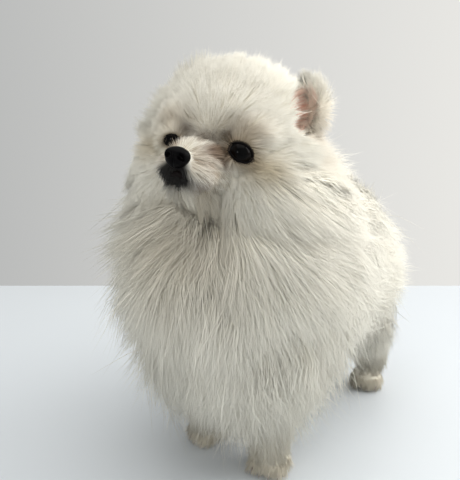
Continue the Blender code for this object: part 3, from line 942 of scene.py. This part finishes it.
# The middle and axis of each part's unwrap
ROUND_FACE = FRONT, 1
ROUND_CHIN = CHIN, 1
ROUND_SKULL = SKULL, 0
ROUND_EARS = (13, -50, 220), 2
ROUND_NECK = (0, -50, 125), 2
ROUND_CHEST = (0, -47, 82), 2
ROUND_TORSO = (0, 20, 96), 1
ROUND_TAIL = (0, 66, 136), 1
ROUND_FORELEGS = (0, -58, 30), 2
ROUND_HINDLEGS = (0, 60, 40), 2
ROUND_PAWS = (0, 0, 5), 2
# A share of the length and a factor on the width: the woolly undercoat is shorter and broader
FULL = (1.0, 1.0)
UNDER = (0.55, 1.9)
# Each coat piece: the part it grows on, where on it in the head's or the body's axes, its strands
# and their rings, its unwrap and its kind
COAT_PIECES = {
    "coat_face": ("head", lambda h, p: on_face(h), 24000, 1, ROUND_FACE, FULL),
    "coat_muzzle": ("muzzle", all_over, 13000, 1, ROUND_CHIN, FULL),
    "coat_crown_left": ("head", lambda h, p: on_crown(h) & (h[:, 0] > 0), 16000, 1, ROUND_SKULL, FULL),
    "coat_crown_right": ("head", lambda h, p: on_crown(h) & (h[:, 0] <= 0), 16000, 1, ROUND_SKULL, FULL),
    "coat_cheek_left": ("head", lambda h, p: on_cheek(h) & (h[:, 0] > 0), 11000, 2, ROUND_SKULL, FULL),
    "coat_cheek_right": ("head", lambda h, p: on_cheek(h) & (h[:, 0] <= 0), 7000, 2, ROUND_SKULL, FULL),
    "coat_ruff_left": ("neck", lambda h, p: (p[:, 0] > 0) & (p[:, 1] > -75), 11000, 2, ROUND_NECK, FULL),
    "coat_ruff_right": ("neck", lambda h, p: (p[:, 0] <= 0) & (p[:, 1] > -75), 7000, 2, ROUND_NECK, FULL),
    "coat_ruff_front": ("neck", lambda h, p: p[:, 1] <= -75, 17000, 2, ROUND_NECK, FULL),
    "coat_chest": ("chest", all_over, 12500, 2, ROUND_CHEST, FULL),
    "coat_flank_left": ("torso", lambda h, p: p[:, 0] > 0, 9000, 2, ROUND_TORSO, FULL),
    "coat_flank_right": ("torso", lambda h, p: p[:, 0] <= 0, 6500, 2, ROUND_TORSO, FULL),
    "coat_forelegs": ("leg", lambda h, p: p[:, 1] < 0, 9000, 1, ROUND_FORELEGS, FULL),
    "coat_hindlegs": ("leg", lambda h, p: p[:, 1] >= 0, 12000, 1, ROUND_HINDLEGS, FULL),
    "coat_paws": ("paw", lambda h, p: p[:, 2] > 1.5, 7000, 1, ROUND_PAWS, FULL),
    "coat_tail": ("tail", all_over, 5000, 2, ROUND_TAIL, FULL),
    "coat_ears": ("ear", all_over, 11000, 1, ROUND_EARS, FULL),
    "undercoat_cheeks": ("head", lambda h, p: on_cheek(h), 9000, 1, ROUND_SKULL, UNDER),
    "undercoat_neck": ("neck", all_over, 22000, 1, ROUND_NECK, UNDER),
    "undercoat_chest": ("chest", all_over, 8000, 1, ROUND_CHEST, UNDER),
    "undercoat_torso": ("torso", all_over, 12500, 1, ROUND_TORSO, UNDER),
}


def flow(roots, normals, weights, rng):
    """Each strand's way along the body."""
    way = sum(weights[:, i : i + 1] * unit(PARTS[name][0](roots)) for i, name in enumerate(PART_NAMES))
    loose = 0.1 + 0.2 * (1 - share_of(weights, "head", *SHORT_PARTS)[:, None])
    way = way + 0.44 * smooth_noise(roots, 15, 4) + 0.34 * smooth_noise(roots, 6, 5)
    way = way + loose * rng.normal(size=roots.shape)
    return unit(way - normals * (way * normals).sum(-1, keepdims=True))


def curled(tips):
    """Twirls the tips round the middle of each curl."""
    for centre, size, turn in CURLS:
        axis = np.array((Vector(centre) - Vector(HEART)).normalized())
        apart = tips - np.array(centre)
        angle = math.radians(turn) * blob(tips, centre, (size, size, size), 0.9)
        across = np.cross(axis, apart)
        level = apart - axis * (apart @ axis)[:, None]
        tips = tips + level * (np.cos(angle) - 1)[:, None] + across * np.sin(angle)[:, None]
    return tips


def hair_lengths(roots, normals, weights):
    """How far each hair runs along the body and stands over it, and how far it is short fur."""
    values = np.array([PARTS[name][1:3] for name in PART_NAMES])
    run, depth = (weights @ values).T
    h = local(HEAD, roots)
    on_head, on_muzzle = share_of(weights, "head"), share_of(weights, "muzzle")

    # Hair is short round the eyes and nose and grows plush over the brow and cheeks
    beside = np.maximum(h[:, 2] - 8, 0) * 0.9 + np.maximum(np.abs(h[:, 0]) - 25, 0) * 0.7
    plush = smooth_step(1, 18, h[:, 1] + beside)
    short = np.clip(share_of(weights, *SHORT_PARTS) + on_head * (1 - plush), 0, 1)
    run = run * (1 - on_head * (1 - plush) * 0.55)

    # It is long below the cheeks and fuller behind the ears
    low = smooth_step(8, -12, h[:, 2]) * smooth_step(2, 18, h[:, 1]) * smooth_step(50, 34, h[:, 1])
    behind = smooth_step(34, 50, h[:, 1])
    run, depth = run + on_head * (32 * low + 12 * behind), depth + on_head * (4 * low + 4 * behind)

    # Under the throat it is longer, round the mouth and in the ears' cups shorter
    throat = on_muzzle * smooth_step(-18, -24, h[:, 2]) * smooth_step(-18, -4, h[:, 1])
    run += 3 * on_muzzle * smooth_step(-20, -25, h[:, 2]) + 14 * throat
    run *= 1 - 0.55 * on_muzzle * blob(h, (-1.5, -21, -16), (9, 8, 6))
    for side in SIDES:
        centre, radii = mirrored(EAR_CUP, side)
        run *= 1 - 0.5 * blob(local(ear_place(side), roots), centre, np.array(radii) * 1.1, 0.2)
    thigh = share_of(weights, "leg") * smooth_step(30, 52, roots[:, 2])
    run, depth = run + 14 * thigh, depth + 7 * thigh

    height = np.minimum(depth, 2.0 + 5.0 * plush * on_head + 0.3 * depth) + 4 * throat
    by_eye = sum(blob(local(lid_place(s), roots), (0, 0, 0), (11, 9, 9), 0.6) for s in SIDES) * on_head
    return run, depth, run * (1 - 0.35 * by_eye), height * (1 - 0.45 * by_eye), short[:, None]


def round_shading(roots, normals, far, outward, weights, short):
    """The long coat's surface directions at the roots and tips, drawn towards one round form."""
    high = share_of(weights, "head", "muzzle")[:, None] * smooth_step(148, 190, far[:, 2:])
    middle = np.array(SKULL) * high + np.array(HEART) * (1 - high)
    along_back = np.clip(roots[:, 1:2] - HEART[1], 0, 90) * share_of(weights, "torso", "tail")[:, None]
    middle += (0, 1, 0) * along_back
    soft = (1 - short) * ROUNDNESS
    outward = unit(outward * (1 - short) + normals * short)
    outward = unit(outward * (1 - soft) + unit(far - middle) * soft)
    return unit(normals * (1 - soft) + unit(roots - middle) * soft), outward


def nearest_leads(roots, leads):
    """For each root, which of the first few is nearest: the strand that leads its tuft."""
    tree = KDTree(leads)
    for i in range(leads):
        tree.insert(roots[i], i)
    tree.balance()
    return np.array([tree.find(p)[1] for p in roots])


def hair_field(roots, normals, area, outline, share, rng):
    """Each strand's bend, waves and tip, its half width and the surface it is shaded by."""
    weights = part_weights(roots)
    values = np.array([PARTS[name][3:] for name in PART_NAMES])
    lift, clump, tuft, width = (weights @ values).T
    way = flow(roots, normals, weights, rng)
    run, depth, short_run, height, short = hair_lengths(roots, normals, weights)

    # Long hair ends at the coat's outline, short fur lies along the skin
    guess = roots + way * run[:, None] + normals * depth[:, None]
    found = [outline.find_nearest(Vector(q))[:2] for q in guess]
    far, outward = (np.array([hit[i] for hit in found]) for i in range(2))
    shown = round_shading(roots, normals, far, outward, weights, short)
    far = roots + (far - roots) * (rng.uniform(0.55, 1.18, len(roots)) ** 0.5)[:, None]
    near = way * short_run[:, None] + normals * height[:, None]
    near = roots + near * rng.uniform(0.7, 1.15, (len(roots), 1))
    tips = far * (1 - short) + near * short
    # Hair that would hide the left ear's cup is kept short
    ahead = blob(local(HEAD, tips), (40, 28, 22), (13, 18, 14), 0.6) * 0.72 * (1 - share_of(weights, "ear"))
    tips = roots + (curled(tips) - roots) * (1 - ahead[:, None]) * share

    # Strands of a tuft draw together towards the tip of one among them
    lead = nearest_leads(roots, max(8, int(area / tuft.mean() ** 2)))
    pull = np.clip(clump * rng.uniform(0.5, 1.4, len(roots)), 0, 0.9)[:, None]
    length = np.linalg.norm(tips - roots, axis=-1, keepdims=True)
    tips = tips * (1 - pull) + (tips[lead] + (roots - roots[lead]) * 0.35) * pull
    ruffled = share_of(weights, "neck", "chest")[:, None]
    tips += smooth_noise(roots[lead], 3.0, 8) * (0.17 + 0.1 * ruffled) * length
    tips += rng.normal(size=roots.shape) * 0.045 * ruffled * length
    stray = rng.random(len(roots)) < 0.06 * (share == 1)
    loose = rng.normal(size=(stray.sum(), 3)) * 0.07 * length[stray]
    tips[stray] += (tips - roots)[stray] * 0.16 + loose

    # A strand rises, then bends to its tip; the neck's rise less where the head is close over them
    reach = tips - roots
    rise = (reach * normals).sum(-1, keepdims=True)
    level = reach - normals * rise
    crowded = smooth_step(24, 6, nearness(roots, HEAD_FLESH[:5] + JAW_FLESH)) * share_of(weights, "neck")
    steep = (0.55 + lift[:, None] * 0.6) * (1 - 0.6 * crowded[:, None])
    sweep = smooth_noise(roots[lead], 5.0, 12) * 0.3 * length * (1 - short)
    bends = roots + normals * np.maximum(rise * steep, 0.5) + level * 0.32 + sweep
    waves = smooth_noise(roots[lead] + 50, 4.0, 19) * (0.13 + 0.12 * ruffled) * length * (1 - short)
    return bends, waves, tips, width, shown


def bare_faces(centres, part):
    """Where no hair grows: in the eyes' openings and the ears' cups and under the nose pad."""
    bare = np.linalg.norm(local(HEAD, centres) - np.array((0, -24.5, -9.5)), axis=-1) < 5.6
    for side, (wide, high) in OPENING.items():
        eye = local(lid_place(side), centres)
        bare |= (np.hypot(eye[:, 0] / (wide + 0.7), eye[:, 2] / (high + 0.6)) < 1) & (eye[:, 1] < 3)
        ear = local(ear_place(side), centres)
        centre, radii = mirrored(EAR_CUP, side)
        in_cup = np.linalg.norm((ear - centre) / np.array(radii), axis=-1) < 0.97
        bare |= in_cup & (ear[:, 1] < 2.6) & (part == PART_NAMES.index("ear"))
    return bare


def grow_coat(settings):
    """All the coat pieces, rooted on the skin."""
    skin = bpy.data.objects.get("skin")
    if skin is None:
        raise RuntimeError("The coat grows on the skin, which isn't there yet")
    mesh = skin.data
    verts, polygons = mesh_arrays(mesh)
    quads = np.array([p if len(p) == 4 else (*p, p[-1]) for p in polygons])
    vertex_normals = np.empty(len(mesh.vertices) * 3)
    mesh.vertices.foreach_get("normal", vertex_normals)
    centres = verts[quads].mean(axis=1)
    normals = unit(vertex_normals.reshape(-1, 3)[quads].mean(axis=1))
    areas = np.empty(len(polygons))
    mesh.polygons.foreach_get("area", areas)
    part = part_weights(centres).argmax(axis=-1)
    in_head = local(HEAD, centres)
    bare = bare_faces(centres, part)
    outline = coat_outline()
    material = fur_material()
    made = []
    for number, (name, growth) in enumerate(COAT_PIECES.items()):
        on, where, count, rings, (centre, axis), (share, broad) = growth
        rng = np.random.default_rng(settings.seed + number)
        chosen = (part == PART_NAMES.index(on)) & where(in_head, centres) & ~bare
        count = int(count * settings.density)
        roots, picks = scatter(verts, quads, centres, areas, np.flatnonzero(chosen), count, rng)
        area = areas[chosen].sum() / MM**2
        bends, waves, tips, widths, shown = hair_field(roots, normals[picks], area, outline, share, rng)
        tone = rng.uniform(0.95, 1.04, (count, 1))
        fleck = rng.random(count) < 0.35 * blob(local(HEAD, roots), (0, -9, -9), (17, 18, 15), 0.9)
        tone = tone * np.where(fleck[:, None], FLECK, 1.0)
        # Hair on the face shows little of its root
        seen = roots + (tips - roots) * (SEEN_FROM if on in ("head", "muzzle") else 0)
        colours = [np.clip(markings_and_shade(spot) * tone, 0, 1) for spot in (seen, tips)]
        if on == "ear":
            colours[1] = colours[0] * 0.6 + colours[1] * 0.4
            shown = [unit(way + EAR_GLOW) for way in shown]
        widths = widths * broad * settings.width * rng.uniform(0.8, 1.2, count)
        path = roots - normals[picks] * ROOT_DEPTH, bends, waves, tips
        patches = unwrap(roots, centre, axis)
        made.append(
            strand_mesh(name, path, widths, rings, rng, colours, patches, shown, material)
        )
    return made


# ---- Face


def build_eye(side, name, settings):
    """An eyeball with the cornea's bulge, its iris and pupil painted from the gaze's axis."""
    bm = bmesh.new()
    bmesh.ops.create_uvsphere(bm, u_segments=48, v_segments=32, radius=1)
    radius = settings.eye_radius / MM
    off = []
    for vert in bm.verts:
        off_axis = math.hypot(vert.co.x, vert.co.y)
        bulge = 0.045 * math.exp(-((off_axis / 0.62) ** 4)) if vert.co.z > 0 else 0
        off.append(off_axis if vert.co.z > 0 else 1.0)
        vert.co *= radius * (1 + bulge)
    bm.transform(in_frame(eye_place(side) @ turned(90, "X")))
    bmesh.ops.recalc_face_normals(bm, faces=bm.faces[:])
    eye = object_of(name, bm, eye_material())
    off = np.array(off)[:, None]
    iris = np.array(settings.iris_colour)[:3] * (0.6 + 0.8 * smooth_step(0.4, 0.66, off))
    rim = smooth_step(0.66, 0.74, off)
    pupil = 1 - smooth_step(0.36, 0.42, off)
    write_colours(eye.data, "iris", iris * (1 - pupil) * (1 - rim) + 0.001 * pupil + 0.003 * rim)
    eye.data.shade_smooth()
    return eye


def oval(place, centre, across, along, count):
    """Points round an oval with these half axes, placed."""
    turns = (math.tau * j / count for j in range(count))
    return [place @ (centre + across * math.cos(b) + along * math.sin(b)) for b in turns]


def ring_mesh(name, rings, material, closed):
    """A tube through rings of points in metres, joined end to end or capped."""
    bm = bmesh.new()
    rows = [[bm.verts.new(p) for p in ring] for ring in rings]
    for near, far in zip(rows, rows[1:] + rows[:1] if closed else rows[1:]):
        for j in range(len(near)):
            k = (j + 1) % len(near)
            bm.faces.new((near[j], near[k], far[k], far[j]))
    if not closed:
        bm.faces.new(rows[0])
        bm.faces.new(rows[-1])
    bmesh.ops.recalc_face_normals(bm, faces=bm.faces[:])
    made = object_of(name, bm, material)
    made.data.shade_smooth()
    return made


def build_lids(side, name, material):
    """The dark rim of both lids, an almond drawn to a point at the inner corner."""
    rings = []
    place = in_frame(lid_place(side))
    wide, high = OPENING[side]
    for i in range(48):
        a = math.tau * i / 48
        inner = max(0.0, -side * math.cos(a)) ** 4
        x = (wide + 1.2 * inner) * math.cos(a)
        z = high * (1 - 0.25 * inner) * math.sin(a) - 0.4 * inner
        # On the eyeball's surface, or just over it
        y = 0.15 - math.sqrt(max(6.25**2 - x * x - z * z, 1.0))
        out = Vector((math.cos(a), 0.35, math.sin(a))).normalized()
        ahead = Vector((-0.35 * math.cos(a), 1, -0.35 * math.sin(a))).normalized()
        rings.append(oval(place, Vector((x, y, z)), out * 0.55, ahead * 0.75, 12))
    return ring_mesh(name, rings, material, closed=True)


def build_nose(material):
    """The nose pad: broad on top, with comma nostrils and the groove between them."""
    bm = bmesh.new()
    bmesh.ops.create_uvsphere(bm, u_segments=72, v_segments=48, radius=1)
    for vert in bm.verts:
        x, y, z = vert.co
        top = smooth_step(-0.9, 0.9, z)
        p = Vector((x * (5.2 + 1.2 * top), y * 4.3, z * (4.8 - 0.2 * top)))
        front = smooth_step(0.1, -0.7, y)
        for side in SIDES:
            hole = math.hypot((p.x - side * 2.9) / 1.35, (p.z + 0.2) / 1.15)
            tail = math.hypot((p.x - side * 4.5) / 1.5, (p.z + 1.3) / 0.6)
            p.y += front * (2.6 * math.exp(-(hole**4)) + 1.3 * math.exp(-(tail**4)))
            wing = math.hypot((p.x - side * 4.0) / 1.8, (p.z - 1.2) / 1.6)
            p.y -= front * 0.45 * math.exp(-(wing**2))
        groove = math.exp(-((p.x / 0.45) ** 2)) * smooth_step(1.5, -1.0, p.z)
        p.y += front * 0.9 * groove
        vert.co = p
    bm.transform(in_frame(HEAD @ Matrix.Translation((0, -25, -9.5)) @ turned(-8, "X")))
    nose = object_of("nose_pad", bm, material)
    nose.data.shade_smooth()
    return nose


def build_lips(material):
    """The dark edge of the closed mouth, from one corner round the front to the other."""
    rings = []
    count = 40
    for i in range(count):
        t = (i / (count - 1) * 2 - 1) * 0.55
        z = -16.6 + 0.56 * math.exp(-((t / 0.22) ** 2)) - 1.6 * abs(t)
        centre = Vector((8.2 * math.sin(t * math.pi / 2), -21.5 + 19 * abs(t) ** 1.9, z))
        radius = 1.1 - 3 * abs(t) ** 3
        out = Vector((t, -1 + abs(t), 0)).normalized() * radius
        rings.append(oval(in_frame(HEAD), centre, out, Vector((0, 0, radius * 1.3)), 10))
    return ring_mesh("lips", rings, material, closed=False)


# ---- What repeats: whiskers and claws, by Geometry Nodes


def bristle_tree(name, material):
    """Sets a curved tapered bristle on each point, turned and sized by the point's own values."""
    tree = bpy.data.node_groups.new(name, "GeometryNodeTree")
    tree.interface.new_socket("Geometry", in_out="INPUT", socket_type="NodeSocketGeometry")
    for label, value in (("Length", 0.02), ("Thickness", 0.0002), ("Bend", 0.2)):
        socket = tree.interface.new_socket(label, in_out="INPUT", socket_type="NodeSocketFloat")
        socket.default_value = value
    tree.interface.new_socket("Geometry", in_out="OUTPUT", socket_type="NodeSocketGeometry")
    start = add_node(tree, "NodeGroupInput").outputs

    def vector(*links):
        return add_node(tree, "ShaderNodeCombineXYZ", (), links).outputs[0]

    def math_node(operation, settings, links):
        return add_node(tree, "ShaderNodeMath", [("operation", operation), *settings], links).outputs[0]

    def geometry(kind, settings, links):
        return add_node(tree, "GeometryNode" + kind, settings, links).outputs[0]

    # The curve leaves its root straight up and bends over from the middle on
    half_up = math_node("MULTIPLY", [(1, 0.55)], [(start["Length"], 0)])
    ends = [(vector((half_up, "Z")), "Middle"), (vector((start["Bend"], "X"), (start["Length"], "Z")), "End")]
    line = geometry("CurveQuadraticBezier", [("Resolution", 8), ("Start", (0, 0, 0))], ends)
    along = add_node(tree, "GeometryNodeSplineParameter").outputs["Factor"]
    taper = math_node("SUBTRACT", [(0, 1.04)], [(along, 1)])
    radius = math_node("MULTIPLY", (), [(taper, 0), (start["Thickness"], 1)])
    profile = geometry("CurvePrimitiveCircle", [("Resolution", 6), ("Radius", 1.0)], ())
    links = [(line, "Curve"), (profile, "Profile Curve"), (radius, "Scale")]
    tube = geometry("CurveToMesh", [("Fill Caps", True)], links)
    turn = geometry("InputNamedAttribute", [("data_type", "FLOAT_VECTOR"), ("Name", "turn")], ())
    size = geometry("InputNamedAttribute", [("data_type", "FLOAT"), ("Name", "size")], ())
    links = [(start["Geometry"], "Points"), (tube, "Instance"), (turn, "Rotation"), (size, "Scale")]
    real = geometry("RealizeInstances", (), [(geometry("InstanceOnPoints", (), links), "Geometry")])
    finish = geometry("SetMaterial", [("Material", material)], [(real, "Geometry")])
    add_node(tree, "NodeGroupOutput", (), [(finish, "Geometry")])
    return tree


def bristles(name, tree, places, length, thickness, bend):
    """Runs the bristle tree over places of (point, direction, size) in the forms' millimetres."""
    mesh = bpy.data.meshes.new(name)
    mesh.from_pydata([to_frame(spot) for spot, _, _ in places], [], [])
    turns = [Vector(way).to_track_quat("Z", "X").to_euler()[:] for _, way, _ in places]
    layer = mesh.attributes.new("turn", "FLOAT_VECTOR", "POINT")
    layer.data.foreach_set("vector", np.array(turns, np.float32).ravel())
    layer = mesh.attributes.new("size", "FLOAT", "POINT")
    layer.data.foreach_set("value", np.array([scale for _, _, scale in places], np.float32))
    made = linked(name, mesh)
    step = made.modifiers.new("bristles", "NODES")
    step.node_group = tree
    wanted = {"Length": length * MM, "Thickness": thickness * MM, "Bend": bend * MM}
    for item in tree.interface.items_tree:
        if item.item_type == "SOCKET" and item.in_out == "INPUT" and item.name in wanted:
            step[item.identifier] = wanted[item.name]
    apply_modifiers(made)
    made.data.shade_smooth()
    return made


def whisker_places():
    """Rows of whiskers on both sides of the muzzle, and a few over the eyes."""
    rng = np.random.default_rng(21)
    found = []
    turn = HEAD_TURN.to_3x3()
    for side in SIDES:
        for row in range(3):
            for i in range(4):
                spot = Vector((side * (7.6 + 0.5 * i), -17 + 3.2 * i, -10.5 - 2.4 * row))
                way = Vector((side * (0.9 + 0.1 * i), -0.35 + 0.3 * i, -0.1 - 0.22 * row))
                way += Vector(rng.normal(size=3)) * 0.08
                found.append((HEAD @ spot, turn @ way, rng.uniform(0.75, 1.1)))
        for i in range(2):
            spot = Vector((side * (15 + 3 * i), -0.5, 9.5))
            way = Vector((side * (0.25 + 0.3 * i), -0.9, 0.7))
            found.append((HEAD @ spot, turn @ way, 0.55))
    return found


def claw_places():
    """A claw at the end of each toe, curving down."""
    found = []
    for side in SIDES:
        for y in PAW_LINES:
            place = paw_place(side, y)
            for toe in TOES:
                spot = Vector((toe * 5.2, -11.0 + abs(toe) * 1.6, 4.6))
                way = place.to_3x3() @ Vector((toe * 0.08, -1, -0.7))
                found.append((place @ spot, way, 1.0))
    return found


# ---- Stage


# The camera stands where the photo's did: place in the forms' millimetres, turn and pitch in
# degrees, and focal length as a share of the picture's height
CAMERA_SPOT = (181.0, -287.0, 204.0)
CAMERA_TURN, CAMERA_PITCH = 39.4, 13.3
FOCAL = 532 / 480
SENSOR = 36
# How far the table reaches ahead of the camera, behind it and to each side, in metres
TABLE = 0.62, -1.2, 1.4
# What the lights point at
LIT = Vector((0, 0, 0.11))


def look_along(azimuth, pitch):
    """The way a camera with this turn and pitch looks."""
    a, e = math.radians(azimuth), math.radians(pitch)
    return Vector((-math.sin(a) * math.cos(e), math.cos(a) * math.cos(e), -math.sin(e)))


def build_table(eye, ahead, across, floor_colour):
    """A pale table top whose far edge closes the picture's floor."""
    ground = Vector((eye.x, eye.y, 0))
    far, near, side = TABLE
    bm = bmesh.new()
    corners = [(far, -side), (far, side), (near, side), (near, -side)]
    bm.faces.new([bm.verts.new(ground + ahead * f + across * s) for f, s in corners])
    made, tree, shader = new_material(
        "matt_white_laminate",
        [("Base Color", floor_colour), ("Roughness", 0.42), ("Specular IOR Level", 0.5)],
    )
    grain = texture(tree, "ShaderNodeTexNoise", [("Scale", 900.0)])
    add_bump(tree, shader, grain.outputs["Fac"], 0.05, 0.2)
    floor = object_of("floor", bm, made)
    if floor.data.polygons[0].normal.z < 0:
        floor.data.flip_normals()


def build_room(across, settings):
    """The room's soft light, brighter towards the window on the picture's right."""
    world = bpy.data.worlds.new("soft_room")
    world.use_nodes = True
    tree = world.node_tree
    back = tree.nodes["Background"]
    back.inputs["Strength"].default_value = settings.room_light
    way = add_node(tree, "ShaderNodeTexCoord").outputs["Generated"]
    turn = add_node(
        tree, "ShaderNodeVectorMath", [("operation", "DOT_PRODUCT"), (1, across)], [(way, 0)]
    )
    spread = add_node(
        tree,
        "ShaderNodeMapRange",
        [("From Min", -0.4), ("From Max", 0.4)],
        [(turn.outputs["Value"], "Value")],
    )
    tone = add_ramp(tree, spread.outputs["Result"], settings.shade_colour, settings.room_colour)
    tree.links.new(tone, back.inputs["Color"])
    bpy.context.scene.world = world


def build_lights(ahead, across, settings):
    """Square lamps: the window, a fill, one from above and a small one that the eyes catch."""
    up = Vector((0, 0, 1))
    lights = (
        ("window", across * 0.85 + ahead * 0.04 + up * 0.62, 0.8, settings.window_light),
        ("fill", across * -0.7 - ahead * 0.6 + up * 0.35, 0.8, settings.fill_light),
        ("top", ahead * -0.15 + up, 0.9, settings.top_light),
        ("catch", across * -0.2 - ahead * 0.4 + up * 0.29, 0.05, settings.catch_light),
    )
    for name, spot, size, power in lights:
        data = bpy.data.lights.new(name, "AREA")
        data.size = size
        data.energy = power
        light = bpy.data.objects.new(name, data)
        light.location = spot
        light.rotation_euler = (LIT - spot).to_track_quat("-Z", "Y").to_euler()
        bpy.context.scene.collection.objects.link(light)


def build_stage(settings):
    """The table top, the soft lights and the camera."""
    scene = bpy.context.scene
    ahead = look_along(CAMERA_TURN, 0)
    across = Vector((ahead.y, -ahead.x, 0))
    eye = Vector(to_frame(CAMERA_SPOT).tolist())
    build_table(eye, ahead, across, settings.floor_colour)
    build_room(across, settings)
    build_lights(ahead, across, settings)
    scene.view_settings.view_transform = "Standard"

    data = bpy.data.cameras.new("camera")
    data.sensor_width = SENSOR
    data.lens = SENSOR * FOCAL
    data.clip_start = 0.01
    camera = bpy.data.objects.new("camera", data)
    camera.location = eye
    camera.rotation_euler = look_along(CAMERA_TURN, CAMERA_PITCH).to_track_quat("-Z", "Y").to_euler()
    scene.collection.objects.link(camera)
    scene.camera = camera


# ---- Settings, operators and panel


def colour_property(hex_code, name, description):
    """A colour that a user can change."""
    return bpy.props.FloatVectorProperty(
        name=name,
        description=description,
        subtype="COLOR",
        size=4,
        min=0,
        max=1,
        default=colour(hex_code),
    )


def number_property(default, name, description, unit="NONE", **limits):
    """A number that a user can change."""
    return bpy.props.FloatProperty(
        name=name, description=description, default=default, unit=unit, **limits
    )


class CoatSettings(bpy.types.PropertyGroup):
    """How the coat grows"""

    density: number_property(1.0, "Density", "Share of the full number of strands", min=0.05, max=1.0)
    width: number_property(1.0, "Strand width", "Strand width against its usual value", min=0.3, max=3)
    seed: bpy.props.IntProperty(name="Seed", description="Start of the random numbers", default=40)


class FaceSettings(bpy.types.PropertyGroup):
    """Sizes and colours of the face"""

    eye_radius: number_property(0.0062, "Eye radius", "Radius of an eyeball", "LENGTH")
    iris_colour: colour_property("#0B0705", "Iris", "Iris colour")
    nose_colour: colour_property("#030203", "Nose", "Nose colour")
    whisker_length: number_property(0.015, "Whisker length", "Length of the longest whiskers", "LENGTH")


class StageSettings(bpy.types.PropertyGroup):
    """Light and colour of the stage"""

    floor_colour: colour_property("#DBE0E4", "Floor", "Colour of the table top")
    room_colour: colour_property("#E9E8E4", "Room", "The room's soft light on the window's side")
    shade_colour: colour_property("#BBBCBB", "Shade", "The room's soft light on the other side")
    room_light: number_property(1.0, "Room light", "Strength of the room's soft light")
    window_light: number_property(7.1, "Window", "Window light", "POWER")
    fill_light: number_property(0.2, "Fill", "Fill light", "POWER")
    top_light: number_property(3.3, "Top", "Light from above", "POWER")
    catch_light: number_property(0.2, "Catch", "Light in the eyes", "POWER")


class PUPPY_OT_skin(bpy.types.Operator):
    """Build the skin in place of the solids' flesh"""

    bl_idname = "puppy.skin"
    bl_label = "Skin"

    def execute(self, context):
        skin = skin_form()
        write_colours(skin.data, "coat", markings_and_shade(mesh_arrays(skin.data)[0]))
        skin.data.materials.clear()
        skin.data.materials.append(skin_material())
        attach(skin, "root")
        flesh = [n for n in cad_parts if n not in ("nose", "eye_left", "eye_right")]
        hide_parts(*flesh)
        return {"FINISHED"}


class PUPPY_OT_coat(bpy.types.Operator):
    """Grow the coat over the skin"""

    bl_idname = "puppy.coat"
    bl_label = "Coat"

    def execute(self, context):
        for piece in grow_coat(context.scene.puppy_coat):
            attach(piece, "root")
        return {"FINISHED"}


class PUPPY_OT_face(bpy.types.Operator):
    """Build the eyes, lids, nose and lips"""

    bl_idname = "puppy.face"
    bl_label = "Face"

    def execute(self, context):
        settings = context.scene.puppy_face
        rim = leather_material("lid_rim_skin", colour("#080606"), 0.5, 0.5)
        for side, name in zip(SIDES, ("left", "right")):
            eye = build_eye(side, f"eyeball_{name}", settings)
            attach(eye, "root")
            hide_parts(f"eye_{name}")
            lids = build_lids(side, f"lids_{name}", rim)
            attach(lids, "root")
        nose = build_nose(leather_material("nose_leather", settings.nose_colour, 0.42, 0.45))
        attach(nose, "root")
        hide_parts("nose")
        lips = build_lips(leather_material("lip_skin", colour("#14100F"), 0.4, 0.5))
        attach(lips, "root")
        return {"FINISHED"}


class PUPPY_OT_bristles(bpy.types.Operator):
    """Set the whiskers and claws"""

    bl_idname = "puppy.bristles"
    bl_label = "Whiskers and claws"

    def execute(self, context):
        settings = context.scene.puppy_face
        # White hair stiffer and smoother than the coat's
        settled = [("Base Color", colour("#E9E4DC")), ("Roughness", 0.4)]
        tree = bristle_tree("whisker", new_material("whisker_hair", settled)[0])
        length = settings.whisker_length / MM
        whiskers = bristles("whiskers", tree, whisker_places(), length, 0.055, 3.0)
        tree = bristle_tree("claw", claw_material())
        claws = bristles("claws", tree, claw_places(), 4.6, 0.95, -1.2)
        for piece in (whiskers, claws):
            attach(piece, "root")
        return {"FINISHED"}


class PUPPY_OT_stage(bpy.types.Operator):
    """Set the table top, the lights and the camera"""

    bl_idname = "puppy.stage"
    bl_label = "Stage"

    def execute(self, context):
        build_stage(context.scene.puppy_stage)
        return {"FINISHED"}


class PUPPY_PT_panel(bpy.types.Panel):
    """Settings and steps of the puppy's looks"""

    bl_label = "Puppy"
    bl_space_type = "VIEW_3D"
    bl_region_type = "UI"
    bl_category = "Puppy"

    def draw(self, context):
        for group in (context.scene.puppy_coat, context.scene.puppy_face, context.scene.puppy_stage):
            box = self.layout.box()
            for name in group.bl_rna.properties.keys():
                if name not in ("rna_type", "name"):
                    box.prop(group, name)
        for operator in OPERATORS:
            self.layout.operator(operator.bl_idname)


GROUPS = {"puppy_coat": CoatSettings, "puppy_face": FaceSettings, "puppy_stage": StageSettings}
OPERATORS = (PUPPY_OT_skin, PUPPY_OT_coat, PUPPY_OT_face, PUPPY_OT_bristles, PUPPY_OT_stage)


def register():
    for group in GROUPS.values():
        bpy.utils.register_class(group)
    for name, group in GROUPS.items():
        setattr(bpy.types.Scene, name, bpy.props.PointerProperty(type=group))
    for made in (*OPERATORS, PUPPY_PT_panel):
        bpy.utils.register_class(made)


def unregister():
    for made in (PUPPY_PT_panel, *reversed(OPERATORS)):
        bpy.utils.unregister_class(made)
    for name, group in GROUPS.items():
        delattr(bpy.types.Scene, name)
        bpy.utils.unregister_class(group)


def main():
    register()
    bpy.ops.puppy.skin()
    bpy.ops.puppy.coat()
    bpy.ops.puppy.face()
    bpy.ops.puppy.bristles()
    bpy.ops.puppy.stage()


if __name__ == "__main__":
    main()
